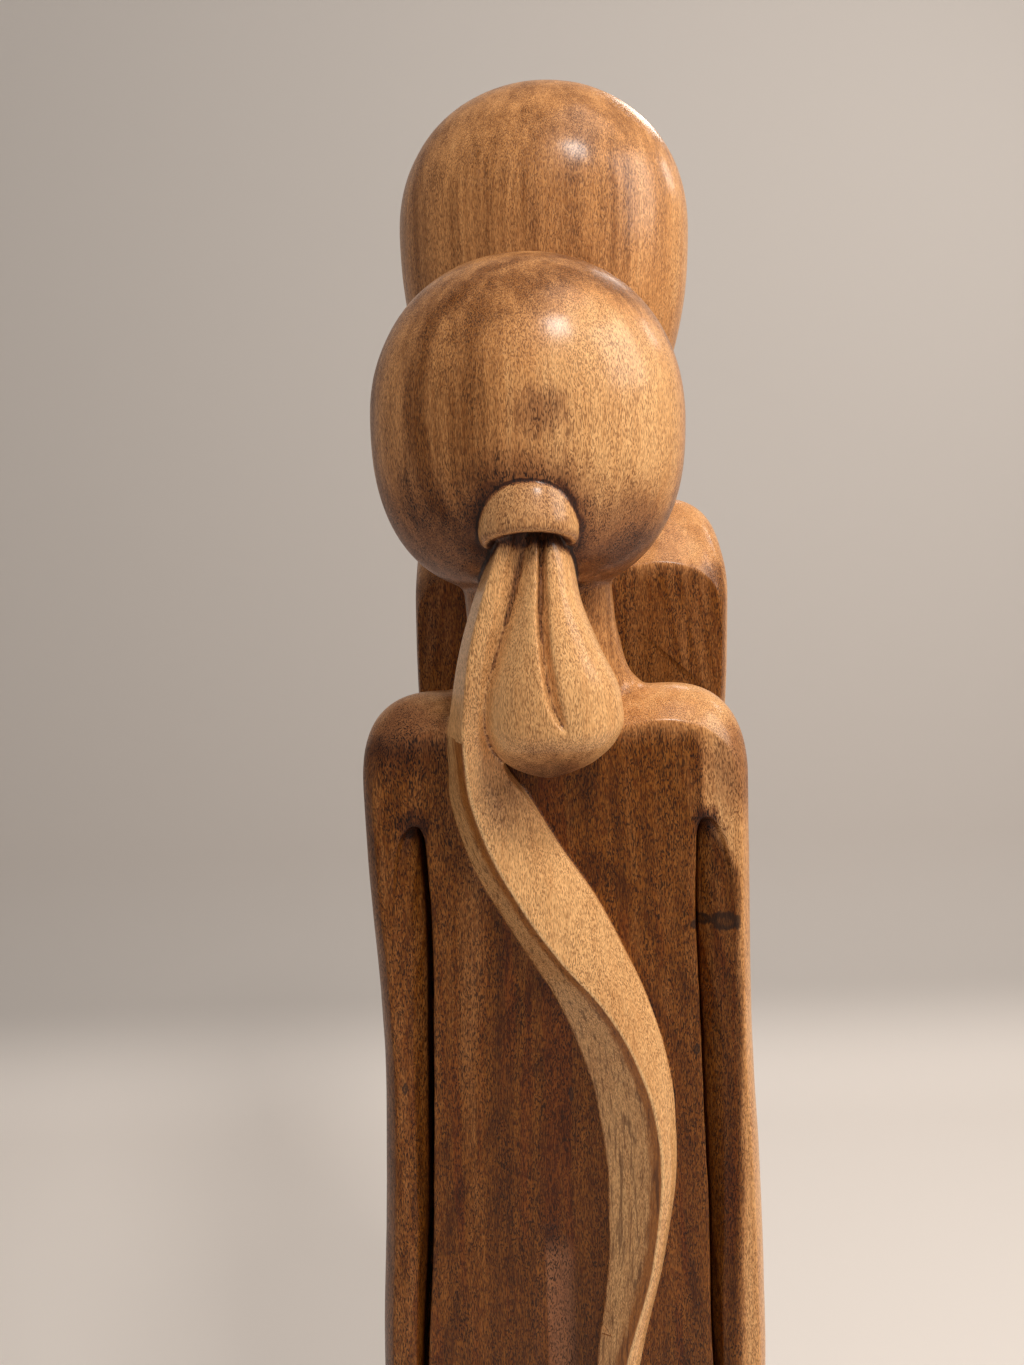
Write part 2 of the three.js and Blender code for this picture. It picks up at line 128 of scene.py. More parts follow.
BAND = dict(
    x=-9.1, y=-52, z=68.6, radius=15.1, depth_share=0.88, half_length=9.2, half_thickness=3.3,
    squareness=3, tilt=0.33, sides=64, turns=160,
)
BULB = dict(top=72, foot=-28, back=-24, squareness=2.35, sides=360, rows=130)
BULB_MIDDLE = [
    (72, -5.2), (62, -4.6), (52, -4.0), (40, -4.2), (22, -3.4), (4, -2), (-8, -1.6), (-19, -3), (-28, -4.3),
]
BULB_HALF_WIDTH = [
    (72, 7.6), (62, 8.6), (55, 10.6), (40, 13.6), (22, 19.4), (4, 25.4), (-5, 26), (-14, 23.6), (-22, 18),
    (-26, 12), (-28, 5),
]
BULB_FACE = [
    (72, -59), (60, -61), (40, -65.5), (22, -69), (4, -71.5), (-7, -71.3), (-13, -69.2), (-20, -61.5),
    (-28, -50),
]
# The cut that parts the bulb into two locks: its left rim, its floor and its right rim.
GROOVE_LEFT = [
    (72, -6.4), (60, -6.6), (41, -7.7), (32, -8.1), (23, -7.6), (14, -6.8), (4, -5.2), (-2, -2.8), (-9, 2.2),
]
GROOVE_FLOOR = [
    (72, -4.6), (60, -5), (41, -6), (32, -6.2), (23, -5.8), (13, -5), (4, -3.4), (-3, -0.6), (-9, 2.8),
]
GROOVE_RIGHT = [
    (72, -2.4), (60, -2.6), (41, -2.9), (32, -2.9), (23, -2.4), (14, -1.4), (4, 0.2), (-2, 1.6), (-9, 3.6),
]
GROOVE_DEPTH = [(72, 4.2), (40, 4.4), (14, 4.2), (-2, 2.8), (-9, 0)]

LOCK = dict(top=70, end=-414, rows=240, inset=12, ridge_half=0.5, hollow=1.2, step=1)
LOCK_MIDDLE = [
    (70, -16.5), (62, -17.6), (52, -20.8), (40, -24.5), (22, -29.5), (4, -32.6), (-12, -34),
    (-26, -32.2), (-40, -27.6), (-62, -18.5), (-83, -6.9), (-105, 4.7), (-126, 15.2), (-148, 23.2),
    (-170, 28), (-204, 30.4), (-239, 27.8), (-293, 18.6), (-335, 14.5), (-370, 16), (-414, 25),
]
LOCK_HALF_WIDTH = [
    (70, 3), (62, 3.6), (52, 4.6), (40, 6), (4, 7.5), (-26, 11), (-40, 15.6), (-62, 19), (-83, 21),
    (-126, 18.5), (-193, 14.9), (-262, 10.3), (-330, 7.4), (-375, 4.4), (-414, 0.4),
]
LOCK_RIDGE_PLACE = [
    (64, 0.3), (20, 0.34), (-10, 0.38), (-40, 0.3), (-62, 0.28), (-83, 0.28), (-105, 0.34), (-126, 0.5),
    (-148, 0.61), (-193, 0.74), (-239, 0.74), (-293, 0.6), (-414, 0.5),
]
LOCK_RIDGE = [
    (64, -62), (40, -62), (22, -60.5), (4, -58), (-26, -51), (-62, -42), (-120, -40.5), (-200, -40),
    (-300, -38), (-414, -29),
]
LOCK_ROOT = [(64, -46), (22, -44), (-20, -34), (-60, -27), (-414, -27)]
LOCK_RIGHT_LIFT = [(64, 0.85), (4, 0.8), (-20, 0.5), (-50, 0.32), (-300, 0.32), (-414, 0.1)]
LOCK_SKIRT = [(64, 4), (-14, 4), (-26, 0.01), (-414, 0.01)]

WEB = dict(half_width=72, top=508, lip_height=8, gap_middle=3, half_gap=18, overlap=6, steps=32)

# The carver's finish: the grain of the remesh, how far edges are rubbed down, and the fillets.

VOXEL = 0.8 * MM
MOST_TRIANGLES = 190000
RUB_STEPS = 2
FILLET_STEPS = 90
WAVE = dict(height=0.28 * MM, length=34 * MM)
FILLET = dict(core=34, reach=58, back=-40, back_blend=6, lean=0.6, root=3, under_head=52, spread=20)
# The visual stays this far inside the CAD part's box.
EDGE_ROOM = 0.05 * MM
# How long the smoothing runs that finds hollows and edges: a short run finds the narrow ones.
HOLLOW_STEPS = (20, 160)
# Where the tied hair ends, for its own tone, and how thick old soil and painted shade lie about the band.
HAIR = dict(bulb_foot=-40, band_half_width=18.5, below_band=12, above_band=14)
CAKED_AND_SHADED = dict(seam=0.55, seam_reach=3, halo=0.35, halo_reach=11, below_mouth=6, mouth_depth=6, rim=0.5)
# The long lock's ridge is followed from this height down, and points off the lock get a far value.
RIDGE_TOP = -12
OFF_THE_LOCK = 99

# The wood, in millimetres. Tones run from 0 for sapwood to 1 for heartwood.

GRAIN = dict(wander=14, wander_size=(70, 70, 240), ripple=2.6, ripple_size=(14, 14, 38))
STREAK_SIZE = (3.6, 3.6, 130)
FIBRE_SIZE = (0.46, 0.46, 3.4)
HEART = dict(
    back=77.5, blend=2.2, right=66, side_blend=3, corner_inset=15, corner_from=680, corner_full=640,
    narrows=697, ends=712, man_rise=62, man_wider=14, uneven=5, uneven_size=(9, 9, 70),
)
# The heartwood is darker below, and all the wood is paler towards the sides of the log.
DARKER_BELOW = dict(tone=0.1, starts=640, full=500)
PALER_SIDES = dict(tone=0.12, starts=18, full=66)
SWING = dict(broad=0.62, broad_size=(15, 15, 420), streak=0.42, middle=0.54)
HAIR_TONE = 0.07
SAP_TONE = 0.3
HEART_TONE = 0.8
# The heads' tone is darker towards the left: partly the wood, partly painted shade.
HEAD_ZONE = dict(foot=722, full=742, tone=0.41, left_tone=0.56)
ARC = dict(
    centre=(-88, 88), radius=183.8, level=828, taper=0.03, line=5, width=18, dark=0.15, brown=0.1, pale=0.3,
)
RING = dict(pith=(-2, 20), width=8, taper=0.2, patch_size=(26, 26, 90), faint=0.02, strong=0.13)
PORE = dict(size=(0.34, 0.34, 1.5), low=0.5, high=0.63)
VESSEL = dict(size=(1.4, 1.4, 5), least=0.14, most=0.34)
# Stains and painted shade: the place of each, its reach and its depth, on bare wood and on the hair.
SPOT_EDGE = 16
# The spots at the two slot tops, on the left shoulder and at the head's lower left are partly discolouring,
# partly painted shade.
STAINS_AND_SHADE = [
    ((-16, -100, 784), 40, 0.75), ((22, -92, 780), 32, 0.45), ((-55, -80, 772), 52, 0.5),
    ((-10, -108, 826), 14, 0.42), ((-72, -72, 712), 30, 0.6), ((70, -68, 690), 28, 0.45),
    ((-66, -68, 669), 10, 0.8), ((53, -68, 668), 10, 0.8),
]
# The first two hair spots, under the bulb and between it and the long lock, are partly discolouring, partly
# painted shade.
HAIR_STAINS_AND_SHADE = [((-12, -104, 682), 34, 0.9), ((-22.6, -90, 697), 9, 0.6), ((-16, -111, 790), 26, 0.3)]
# Soil and painted shade in the creases lie thickest about the woman's head, and thinner on the hair.
DIRT_AND_SHADE_ZONE = dict(foot=738, full=768, thinner_below=0.2, thinner_on_hair=0.4)
RIDGE_LINE = dict(width=4.2, strength=0.9)
LOCK_STREAK_SIZE = (1.6, 1.6, 24)
# Knots: the middle of each, across and up, and its half width and half height.
KNOTS = [
    (60, 625, 6.6, 4), (50.5, 624.6, 5, 2.6), (-74.5, 556, 1.2, 2.6), (-5, 552, 1, 3.6), (48, 570, 1.3, 2.6),
]
# Painted light on the cleft's left slope: its edges across, and the heights between which it fades in.
LIT_FACET_PLACE = dict(left=-18.6, left_full=-16.8, right_full=-9, right=-4, top=489, top_full=474, share=0.36)
GLOSS = dict(smooth=0.29, rough=0.39, patch_size=(26, 26, 50), in_flecks=0.12, in_dirt_and_shade=0.25)
COAT = dict(on_pale=0.3, on_dark=0.03)
PORE_RELIEF = 0.12


def colour(red, green, blue):
    """A colour as the eye reads it, 0 to 255, turned into the linear values that shaders take."""
    linear = []
    for part in (red, green, blue):
        share = part / 255
        linear.append(share / 12.92 if share <= 0.04045 else ((share + 0.055) / 1.055) ** 2.4)
    return (*linear, 1.0)


WOOD_TONES = [
    (0.0, colour(255, 198, 134)), (0.3, colour(226, 161, 98)), (0.52, colour(172, 114, 62)),
    (0.78, colour(144, 86, 31)), (1.0, colour(98, 51, 12)),
]
REDDISH = colour(232, 182, 140)
FIBRE = colour(182, 158, 134)
PALE_FLECK = colour(120, 70, 34)
DARK_FLECK = colour(30, 15, 7)
# Painted light on the cleft's left slope.
LIT_FACET = colour(204, 140, 100)
# Soil and stains, together with painted shade in creases, hollows and under the hair.
STAINED_AND_SHADED = colour(172, 116, 78)
DIRT_AND_SHADE = colour(26, 17, 11)
KNOT = colour(46, 30, 22)
GREYED = colour(226, 224, 222)
STREAK = colour(120, 104, 90)
OCHRE = colour(190, 150, 84)
# A painted highlight beside the long lock's ridge.
RIDGE_HIGHLIGHT = colour(255, 214, 156)
PAPER_FLOOR = colour(248, 240, 234)
# The wall is painted darker than the floor: painted shade.
SHADED_PAPER_WALL = colour(202, 195, 190)

# The photograph's camera, in metres and degrees, and the studio about the statue.

CAMERA = dict(place=(-0.0237, -0.471, 0.7832), tilt=82, roll=-2, lens=27.03, sensor=36, nearest=0.01)
SWEEP = dict(wall=1.1, bend=0.3, half_width=3.5, top=3.0, front=-2.6, bend_steps=12, paper_edge=0.1)
AIR = dict(tint=(1.0, 0.97, 0.93, 1), strength=0.3)
LAMP_TINT = (1.0, 0.95, 0.88)
LAMP_AIM = (0, 0, 0.7)
# Each lamp: its name, its place, the width of its square and its watts.
LAMPS = [
    ("front", (0.48, -0.96, 2.07), 0.3, 14), ("overhead", (0.62, -0.28, 2.5), 0.7, 4),
    ("side", (1.2, -0.4, 1.55), 0.8, 13), ("side_rear", (1.13, 0.6, 1.6), 0.25, 1.5),
    ("rear", (0.3, 0.65, 1.42), 0.15, 0.5),
]


def along(profile, height):
    """Value of a profile at a height, on a smooth curve that doesn't overshoot its rows."""
    rows = sorted(profile)
    if height <= rows[0][0]:
        return rows[0][1]
    if height >= rows[-1][0]:
        return rows[-1][1]
    i = next(k for k in range(len(rows) - 1) if height < rows[k + 1][0])

    def slope(k):
        return (rows[k + 1][1] - rows[k][1]) / (rows[k + 1][0] - rows[k][0])

    def tangent(k):
        if k == 0:
            return slope(0)
        if k == len(rows) - 1:
            return slope(k - 1)
        before, after = slope(k - 1), slope(k)
        return 0 if before * after <= 0 else 2 * before * after / (before + after)

    span = rows[i + 1][0] - rows[i][0]
    t = (height - rows[i][0]) / span
    return (
        rows[i][1] * (1 + 2 * t) * (1 - t) ** 2
        + tangent(i) * span * t * (1 - t) ** 2
        + rows[i + 1][1] * t * t * (3 - 2 * t)
        - tangent(i + 1) * span * t * t * (1 - t)
    )


def loft(name, rings):
    """A closed form drawn out ring by ring: each ring is extruded to the next, and both ends are capped."""
    bm = bmesh.new()
    ring = bmesh.ops.create_circle(bm, segments=len(rings[0]), radius=1)["verts"]
    for vert, point in zip(ring, rings[0]):
        vert.co = Vector(point) * MM
    first = edges = list(bm.edges)
    for points in rings[1:]:
        drawn = bmesh.ops.extrude_edge_only(bm, edges=edges)["geom"]
        new = {v for v in drawn if isinstance(v, bmesh.types.BMVert)}
        edges = [e for e in drawn if isinstance(e, bmesh.types.BMEdge) and set(e.verts) <= new]
        ring = [next(e.other_vert(v) for e in v.link_edges if e.other_vert(v) in new) for v in ring]
        for vert, point in zip(ring, points):
            vert.co = Vector(point) * MM
    for end in (first, edges):
        bmesh.ops.contextual_create(bm, geom=end)
    bmesh.ops.triangulate(bm, faces=bm.faces)
    bmesh.ops.recalc_face_normals(bm, faces=bm.faces)
    return finished(name, bm)


def finished(name, bm):
    mesh = bpy.data.meshes.new(name)
    bm.to_mesh(mesh)
    bm.free()
    thing = bpy.data.objects.new(name, mesh)
    bpy.context.scene.collection.objects.link(thing)
    return thing


def steps(start, end, count):
    return [start + (end - start) * k / count for k in range(count + 1)]


def level_ring(z, x, y, half_width, half_depth, power, count):
    """A level superellipse: power 2 is an ellipse, and a higher power is squarer."""
    ring = []
    for k in range(count):
        c = math.cos(2 * math.pi * k / count)
        s = math.sin(2 * math.pi * k / count)
        across = math.copysign(abs(c) ** (2 / power), c)
        deep = math.copysign(abs(s) ** (2 / power), s)
        ring.append((x + half_width * across, y + half_depth * deep, z))
    return ring


def at_shoulder(rings, figure):
    """Rings drawn about a figure's middle, moved up to its shoulder."""
    return [[(x, y, z + figure["shoulder"]) for x, y, z in ring] for ring in rings]


def body_outline(foot):
    """The right half of a body's outline, from the foot up to the middle of the neck's root."""
    top_row = -CORNER["height"] - BODY_ROW_STEP
    rows = steps(foot, top_row, round((top_row - foot) / BODY_ROW_STEP))
    outline = [(along(HALF_WIDTH, z), z) for z in rows]
    reach = HALF_WIDTH[0][1] - CORNER["inner_x"]
    power = 2 / CORNER["power"]
    for k in range(CORNER["steps"] + 1):
        angle = k / CORNER["steps"] * math.pi / 2
        outline.append((
            CORNER["inner_x"] + reach * abs(math.cos(angle)) ** power,
            -CORNER["height"] + CORNER["rise"] * math.sin(angle) ** power,
        ))
    return outline + [(x, CORNER["rise"] - CORNER["height"]) for x in NECK_DIP["columns"]]


def dome_fall(station):
    """How far the shoulder's dome falls between the back (-1) and the chest (+1)."""
    apex = DOME["apex"]
    if station < apex:
        return DOME["back_fall"] * ((apex - station) / (apex + 1)) ** DOME["back_power"]
    return DOME["chest_fall"] * ((station - apex) / (1 - apex)) ** DOME["chest_power"]


def body(figure):
    """A body is drawn from back to chest, so its flat ends meet the shoulder's dome in crisp ridges."""
    outline = body_outline(PLINTH["height"] / 2 - figure["shoulder"])
    rings = []
    for station in (math.sin(a * math.pi / 2) for a in steps(-1, 1, BODY_STATIONS)):
        inset = figure["cap_inset"] * station**4
        shift = figure["cap_shift"] * max(0, station) ** 4
        halves = []
        for side in (1, -1):
            half_ring = []
            for half, z in outline:
                dome_share = min(1, max(0, 1 + z / DOME["reach"]))
                near_neck = max(0, 1 - half / CORNER["inner_x"]) if z > 0 else 0
                dip = NECK_DIP["depth"] * near_neck * station**2
                width = half * figure["width"] - inset * min(1, half / CORNER["inner_x"])
                half_ring.append((
                    side * width + along(SWAY, z) + shift,
                    station * BODY_HALF_DEPTH * along(DEPTH_SHARE, z),
                    figure["shoulder"] + z - dome_fall(station) * dome_share - dip,
                ))
            halves.append(half_ring)
        rings.append(halves[0] + halves[1][::-1])
    return loft("body", rings)


def slot(figure, side):
    """The cut between an arm and the torso: an upright wall on the torso and a slope up to the arm."""
    outside = -BODY_HALF_DEPTH - CUT_CLEARANCE
    arch_height = SLOT["top"] - SLOT["arch_foot"] + SLOT["arch_lip"]
    rings = []
    for z in steps(SLOT_FOOT, SLOT["top"], SLOT["rows"]):
        share = along(SLOT_DEPTH_SHARE, z)
        arch = math.sqrt(1 - (max(0, z - SLOT["arch_foot"]) / arch_height) ** 2)
        torso = along(SLOT_TORSO_EDGE, z)
        arm = along(SLOT_ARM_EDGE, z)
        middle = (torso + arm) / 2
        face = -BODY_HALF_DEPTH * along(DEPTH_SHARE, z)
        lip_y = face + along(SLOT_LIP_DEPTH, z)
        outline = [
            (torso, outside),
            (arm + SLOT["lip"], outside),
            (arm, lip_y),
            (torso + (arm - torso) * SLOT["bend_place"], lip_y + SLOT["bend_depth"] * share),
            (torso + SLOT_KERF[side], face + SLOT["slope_depth"] * share),
            (torso + SLOT_KERF[side] * SLOT["floor_share"], face + SLOT["depth"] * share),
            (torso, face + SLOT["depth"] * share),
        ]
        sway = along(SLOT_SWAY, z) * side
        rings.append([(side * (middle + (x - middle) * arch + sway), y, z) for x, y in outline])
    return loft("slot", at_shoulder(rings, figure))


def cleft(figure):
    """The valley between the legs, with a broad left slope and a rounded floor."""
    outside = -BODY_HALF_DEPTH - CUT_CLEARANCE
    rings = []
    for z in steps(CLEFT["foot"], CLEFT["top"], CLEFT["rows"]):
        left = along(CLEFT_LEFT, z)
        right = along(CLEFT_RIGHT, z)
        face = -BODY_HALF_DEPTH * along(DEPTH_SHARE, z)
        bottom = face + along(CLEFT_DEPTH, z)
        floor = left + (right - left) * CLEFT["floor_place"]
        rings.append([
            (left, outside, z),
            (right, outside, z),
            (right, face, z),
            (floor + CLEFT["floor_half"], bottom, z),
            (floor - CLEFT["floor_half"], bottom, z),
            (left, face, z),
        ])
    return loft("cleft", at_shoulder(rings, figure))


def neck(figure, head):
    """A round neck that flares into the shoulders and leans towards its head."""
    rings = []
    for z in steps(NECK["foot"], NECK["height"], NECK["rows"]):
        share = max(0, z) / NECK["height"]
        lean = NECK["lean_at_foot"] + (NECK["lean_at_top"] - NECK["lean_at_foot"]) * share
        rings.append(level_ring(
            z, head["x"] * lean, head["y"] * share, along(NECK_HALF_WIDTH, z),
            along(NECK_HALF_DEPTH, z), NECK["squareness"], NECK["sides"],
        ))
    return loft("neck", at_shoulder(rings, figure))


def head(figure, shape):
    """A plain egg."""
    rings = []
    for k in range(1, HEAD_LEVELS):
        level = math.sin(math.pi * (k / HEAD_LEVELS - 0.5))
        power = shape["crown"] if level > 0 else shape["chin"]
        round_share = (1 - abs(level) ** power) ** (1 / power)
        z = shape["widest"] + level * (shape["up"] if level > 0 else shape["down"])
        rings.append(level_ring(
            z, shape["x"], shape["y"], shape["half_width"] * round_share,
            shape["half_depth"] * round_share, 2, HEAD_SIDES,
        ))
    return loft("head", at_shoulder(rings, figure))


def band(figure):
    """The hair band is a broad ring, tipped so that its mouth looks down and back."""
    bm = bmesh.new()
    section = bmesh.ops.create_circle(bm, segments=BAND["sides"], radius=1)["verts"]
    power = 2 / BAND["squareness"]
    for vert in section:
        out = math.copysign(abs(vert.co.x) ** power, vert.co.x)
        up = math.copysign(abs(vert.co.y) ** power, vert.co.y)
        vert.co = Vector((BAND["radius"] + out * BAND["half_thickness"], 0, up * BAND["half_length"]))
    bmesh.ops.spin(
        bm, geom=list(bm.verts) + list(bm.edges), cent=(0, 0, 0), axis=(0, 0, 1), dvec=(0, 0, 0),
        angle=2 * math.pi, steps=BAND["turns"], use_merge=True,
    )
    place = Matrix.Translation((0, 0, figure["shoulder"])) @ band_frame()
    bmesh.ops.transform(bm, matrix=Matrix.Scale(MM, 4) @ place, verts=bm.verts)
    bmesh.ops.triangulate(bm, faces=bm.faces)
    bmesh.ops.recalc_face_normals(bm, faces=bm.faces)
    return finished("band", bm)


def groove_depth(x, z):
    """How deep the groove between the two short locks cuts at a point of the bulb's face."""
    left, floor, right = (along(rim, z) for rim in (GROOVE_LEFT, GROOVE_FLOOR, GROOVE_RIGHT))
    if z < GROOVE_DEPTH[-1][0] or not left < x < right:
        return 0
    share = (x - left) / (floor - left) if x < floor else (right - x) / (right - floor)
    return along(GROOVE_DEPTH, z) * math.sin(share * math.pi / 2) ** 1.2


def bulb(figure):
    """Two short locks, parted by a groove that ends in a comma."""
    rings = []
    for z in steps(BULB["foot"], BULB["top"], BULB["rows"]):
        y = (along(BULB_FACE, z) + BULB["back"]) / 2
        ring = level_ring(
            z, along(BULB_MIDDLE, z), y, along(BULB_HALF_WIDTH, z), BULB["back"] - y,
            BULB["squareness"], BULB["sides"],
        )
        rings.append([(x, py + (groove_depth(x, z) if py < y else 0), z) for x, py, _ in ring])
    return loft("bulb", at_shoulder(rings, figure))


def long_lock(figure):
    """The long lock has two edges on the back and a ridge that crosses from the left to the right."""
    rings = []
    for z in steps(LOCK["end"], LOCK["top"], LOCK["rows"]):
        half = along(LOCK_HALF_WIDTH, z)
        left = along(LOCK_MIDDLE, z) - half
        right = left + 2 * half
        ridge = left + 2 * half * along(LOCK_RIDGE_PLACE, z)
        face = -BODY_HALF_DEPTH * along(DEPTH_SHARE, min(z, 0))
        root = min(along(LOCK_ROOT, z), face - LOCK["step"])
        crest = along(LOCK_RIDGE, z)
        right_top = root + (crest - root) * along(LOCK_RIGHT_LIFT, z)
        skirt = along(LOCK_SKIRT, z)
        back = root + LOCK["inset"]
        rings.append([
            (left, root, z),
            (ridge - LOCK["ridge_half"], crest + LOCK["ridge_half"] / 2, z),
            (ridge + LOCK["ridge_half"], crest, z),
            ((ridge + right) / 2 + LOCK["ridge_half"], (crest + right_top) / 2 - LOCK["hollow"], z),
            (right, right_top, z),
            (right + skirt, right_top + skirt * 0.5, z),
            (right + skirt, back, z),
            (left, back, z),
        ])
    return loft("long_lock", at_shoulder(rings, figure))


def plinth():
    """A squared oval slab with a rounded top edge."""
    edge = PLINTH["top_edge"]
    height = PLINTH["height"]
    levels = [(0, PLINTH["foot_edge"]), (PLINTH["foot_edge"], 0)]
    for k in range(PLINTH["edge_steps"] + 1):
        angle = k / PLINTH["edge_steps"] * math.pi / 2
        levels.append((height - edge + edge * math.sin(angle), edge * (1 - math.cos(angle))))
    rings = []
    for z, inset in levels:
        rings.append(level_ring(
            z, 0, 0, PLINTH["half_width"] - inset, PLINTH["half_depth"] - inset,
            PLINTH["squareness"], PLINTH["sides"],
        ))
    return loft("plinth", rings)


def web():
    """The wood that joins the two bodies below the gap, ending in a hollow."""
    foot = PLINTH["height"] / 2
    lip = WEB["top"] + WEB["lip_height"]
    near = WEB["gap_middle"] - WEB["half_gap"]
    far = WEB["gap_middle"] + WEB["half_gap"]
    behind = far + WEB["overlap"]
    outline = [(near - WEB["overlap"], foot), (behind, foot), (behind, lip), (far, lip)]
    for k in range(WEB["steps"] + 1):
        angle = math.pi * k / WEB["steps"]
        outline.append((
            WEB["gap_middle"] + WEB["half_gap"] * math.cos(angle),
            WEB["top"] - WEB["half_gap"] * math.sin(angle),
        ))
    outline += [(near, lip), (near - WEB["overlap"], lip)]
    return loft("web", [[(x, y, z) for y, z in outline] for x in (-WEB["half_width"], WEB["half_width"])])


def joined(name, things):
    """One object from several, made by adding their meshes together."""
    bm = bmesh.new()
    for thing in things:
        bm.from_mesh(thing.data)
        bpy.data.objects.remove(thing)
    return finished(name, bm)


def settled(thing):
    """Applies the modifiers on an object and gives it back with its plain mesh."""
    graph = bpy.context.evaluated_depsgraph_get()
    mesh = bpy.data.meshes.new_from_object(thing.evaluated_get(graph))
    thing.modifiers.clear()
    thing.data = mesh
    return thing


def cut(thing, cutters):
    for cutter in cutters:
        carve = thing.modifiers.new("cut", "BOOLEAN")
        carve.operation = "DIFFERENCE"
        carve.solver = "MANIFOLD"
        carve.object = cutter
    settled(thing)
    for cutter in cutters:
        bpy.data.objects.remove(cutter)
    return thing


def figure_form(figure, head_shape, hair):
    trunk = cut(body(figure), [slot(figure, 1), slot(figure, -1), cleft(figure)])
    form = joined("figure", [trunk, neck(figure, head_shape), head(figure, head_shape), *hair])
    turn = Matrix.Rotation(math.radians(figure["turn"]), 4, "Z")
    form.data.transform(Matrix.Translation(Vector((figure["x"], figure["y"], 0)) * MM) @ turn)
    return form


def points_of(thing):
    places = np.empty(len(thing.data.vertices) * 3, np.float32)
    thing.data.vertices.foreach_get("co", places)
    return places.reshape(-1, 3)


def ramp(values, low, high):
    """A smooth step from 0 at low to 1 at high."""
    t = np.clip((values - low) / (high - low), 0, 1)
    return t * t * (3 - 2 * t)


def fillet_share(points):
    """How much of a fillet each point gets: full where a neck meets its shoulders and its head."""
    share = np.zeros(len(points))
    for figure, shape in ((WOMAN, WOMAN_HEAD), (MAN, MAN_HEAD)):
        facing = -1 if figure["turn"] else 1
        x = (points[:, 0] / MM - figure["x"]) * facing
        y = (points[:, 1] / MM - figure["y"]) * facing
        z = points[:, 2] / MM - figure["shoulder"]
        from_axis = np.hypot(x - shape["x"] * FILLET["lean"], y)
        near = ramp(-from_axis, -FILLET["reach"], -FILLET["core"])
        near = near * ramp(y, FILLET["back"], FILLET["back"] + FILLET["back_blend"])
        root = ramp(-abs(z - FILLET["root"]), -FILLET["spread"], -FILLET["spread"] / 3)
        under_head = ramp(-abs(z - FILLET["under_head"]), -FILLET["spread"], -FILLET["spread"] / 3)
        share = np.maximum(share, near * np.maximum(root, under_head))
    return share


def rub(thing, repeats, share=None):
    """Rubs edges down by smoothing, everywhere or only by each point's share."""
    smooth = thing.modifiers.new("rub", "SMOOTH")
    smooth.factor = 0.5
    smooth.iterations = repeats
    if share is not None:
        group = thing.vertex_groups.new(name="share")
        for index in np.flatnonzero(share > 0.01):
            group.add([int(index)], float(share[index]), "REPLACE")
        smooth.vertex_group = group.name


def keep_on_points(thing, name, values):
    attribute = thing.data.attributes.new(name, "FLOAT", "POINT")
    attribute.data.foreach_set("value", np.asarray(values, np.float32))


def along_points(profile, z):
    """A profile's values at many heights at once."""
    heights = np.linspace(LOCK["end"], LOCK["top"] + 20, 500)
    return np.interp(z, heights, [along(profile, height) for height in heights])


def hair_share(points):
    """1 on the tied hair and the long lock, 0 on the rest."""
    x, y, z = (points / MM - (WOMAN["x"], WOMAN["y"], WOMAN["shoulder"])).T
    lock_left = along_points(LOCK_MIDDLE, z) - along_points(LOCK_HALF_WIDTH, z)
    lock_right = lock_left + 2 * along_points(LOCK_HALF_WIDTH, z)
    bulb_right = along_points(BULB_MIDDLE, z) + along_points(BULB_HALF_WIDTH, z)

    beside = ramp(x - lock_left, -1, 0) * ramp(lock_right - x, -1, 0)
    proud_of_back = ramp(-y - BODY_HALF_DEPTH * along_points(DEPTH_SHARE, z), 0.5, 1.3)
    on_lock = beside * proud_of_back * (z > LOCK["end"]) * (z < 0)

    shape = WOMAN_HEAD
    level = np.clip((z - shape["widest"]) / shape["down"], -1, 0)
    egg = (1 - abs(level) ** shape["chin"]) ** (1 / shape["chin"])
    from_axis = np.hypot((x - shape["x"]) / shape["half_width"], (y - shape["y"]) / shape["half_depth"])
    proud_of_head = ramp((from_axis - egg) * shape["half_depth"], 0.7, 1.5)
    on_locks = ramp(x - lock_left, -1.5, 0) * ramp(bulb_right - x, -1.5, 0)
    on_locks = on_locks * ramp(-y, 36, 40) * (z > HAIR["bulb_foot"]) * (z < BAND["z"])
    on_band = ramp(abs(x - BAND["x"]), HAIR["band_half_width"] + 1.5, HAIR["band_half_width"])
    on_band = on_band * ramp(-y, 44, 46) * (z > BAND["z"] - HAIR["below_band"])
    on_band = on_band * (z < BAND["z"] + HAIR["above_band"])
    return np.clip(on_lock + (on_locks + on_band) * proud_of_head, 0, 1)


def band_frame():
    """The hair band's own place and tilt, in millimetres."""
    place = Matrix.Translation((BAND["x"], BAND["y"], BAND["z"]))
    return place @ Matrix.Rotation(-BAND["tilt"], 4, "X") @ Matrix.Diagonal((1, BAND["depth_share"], 1, 1))


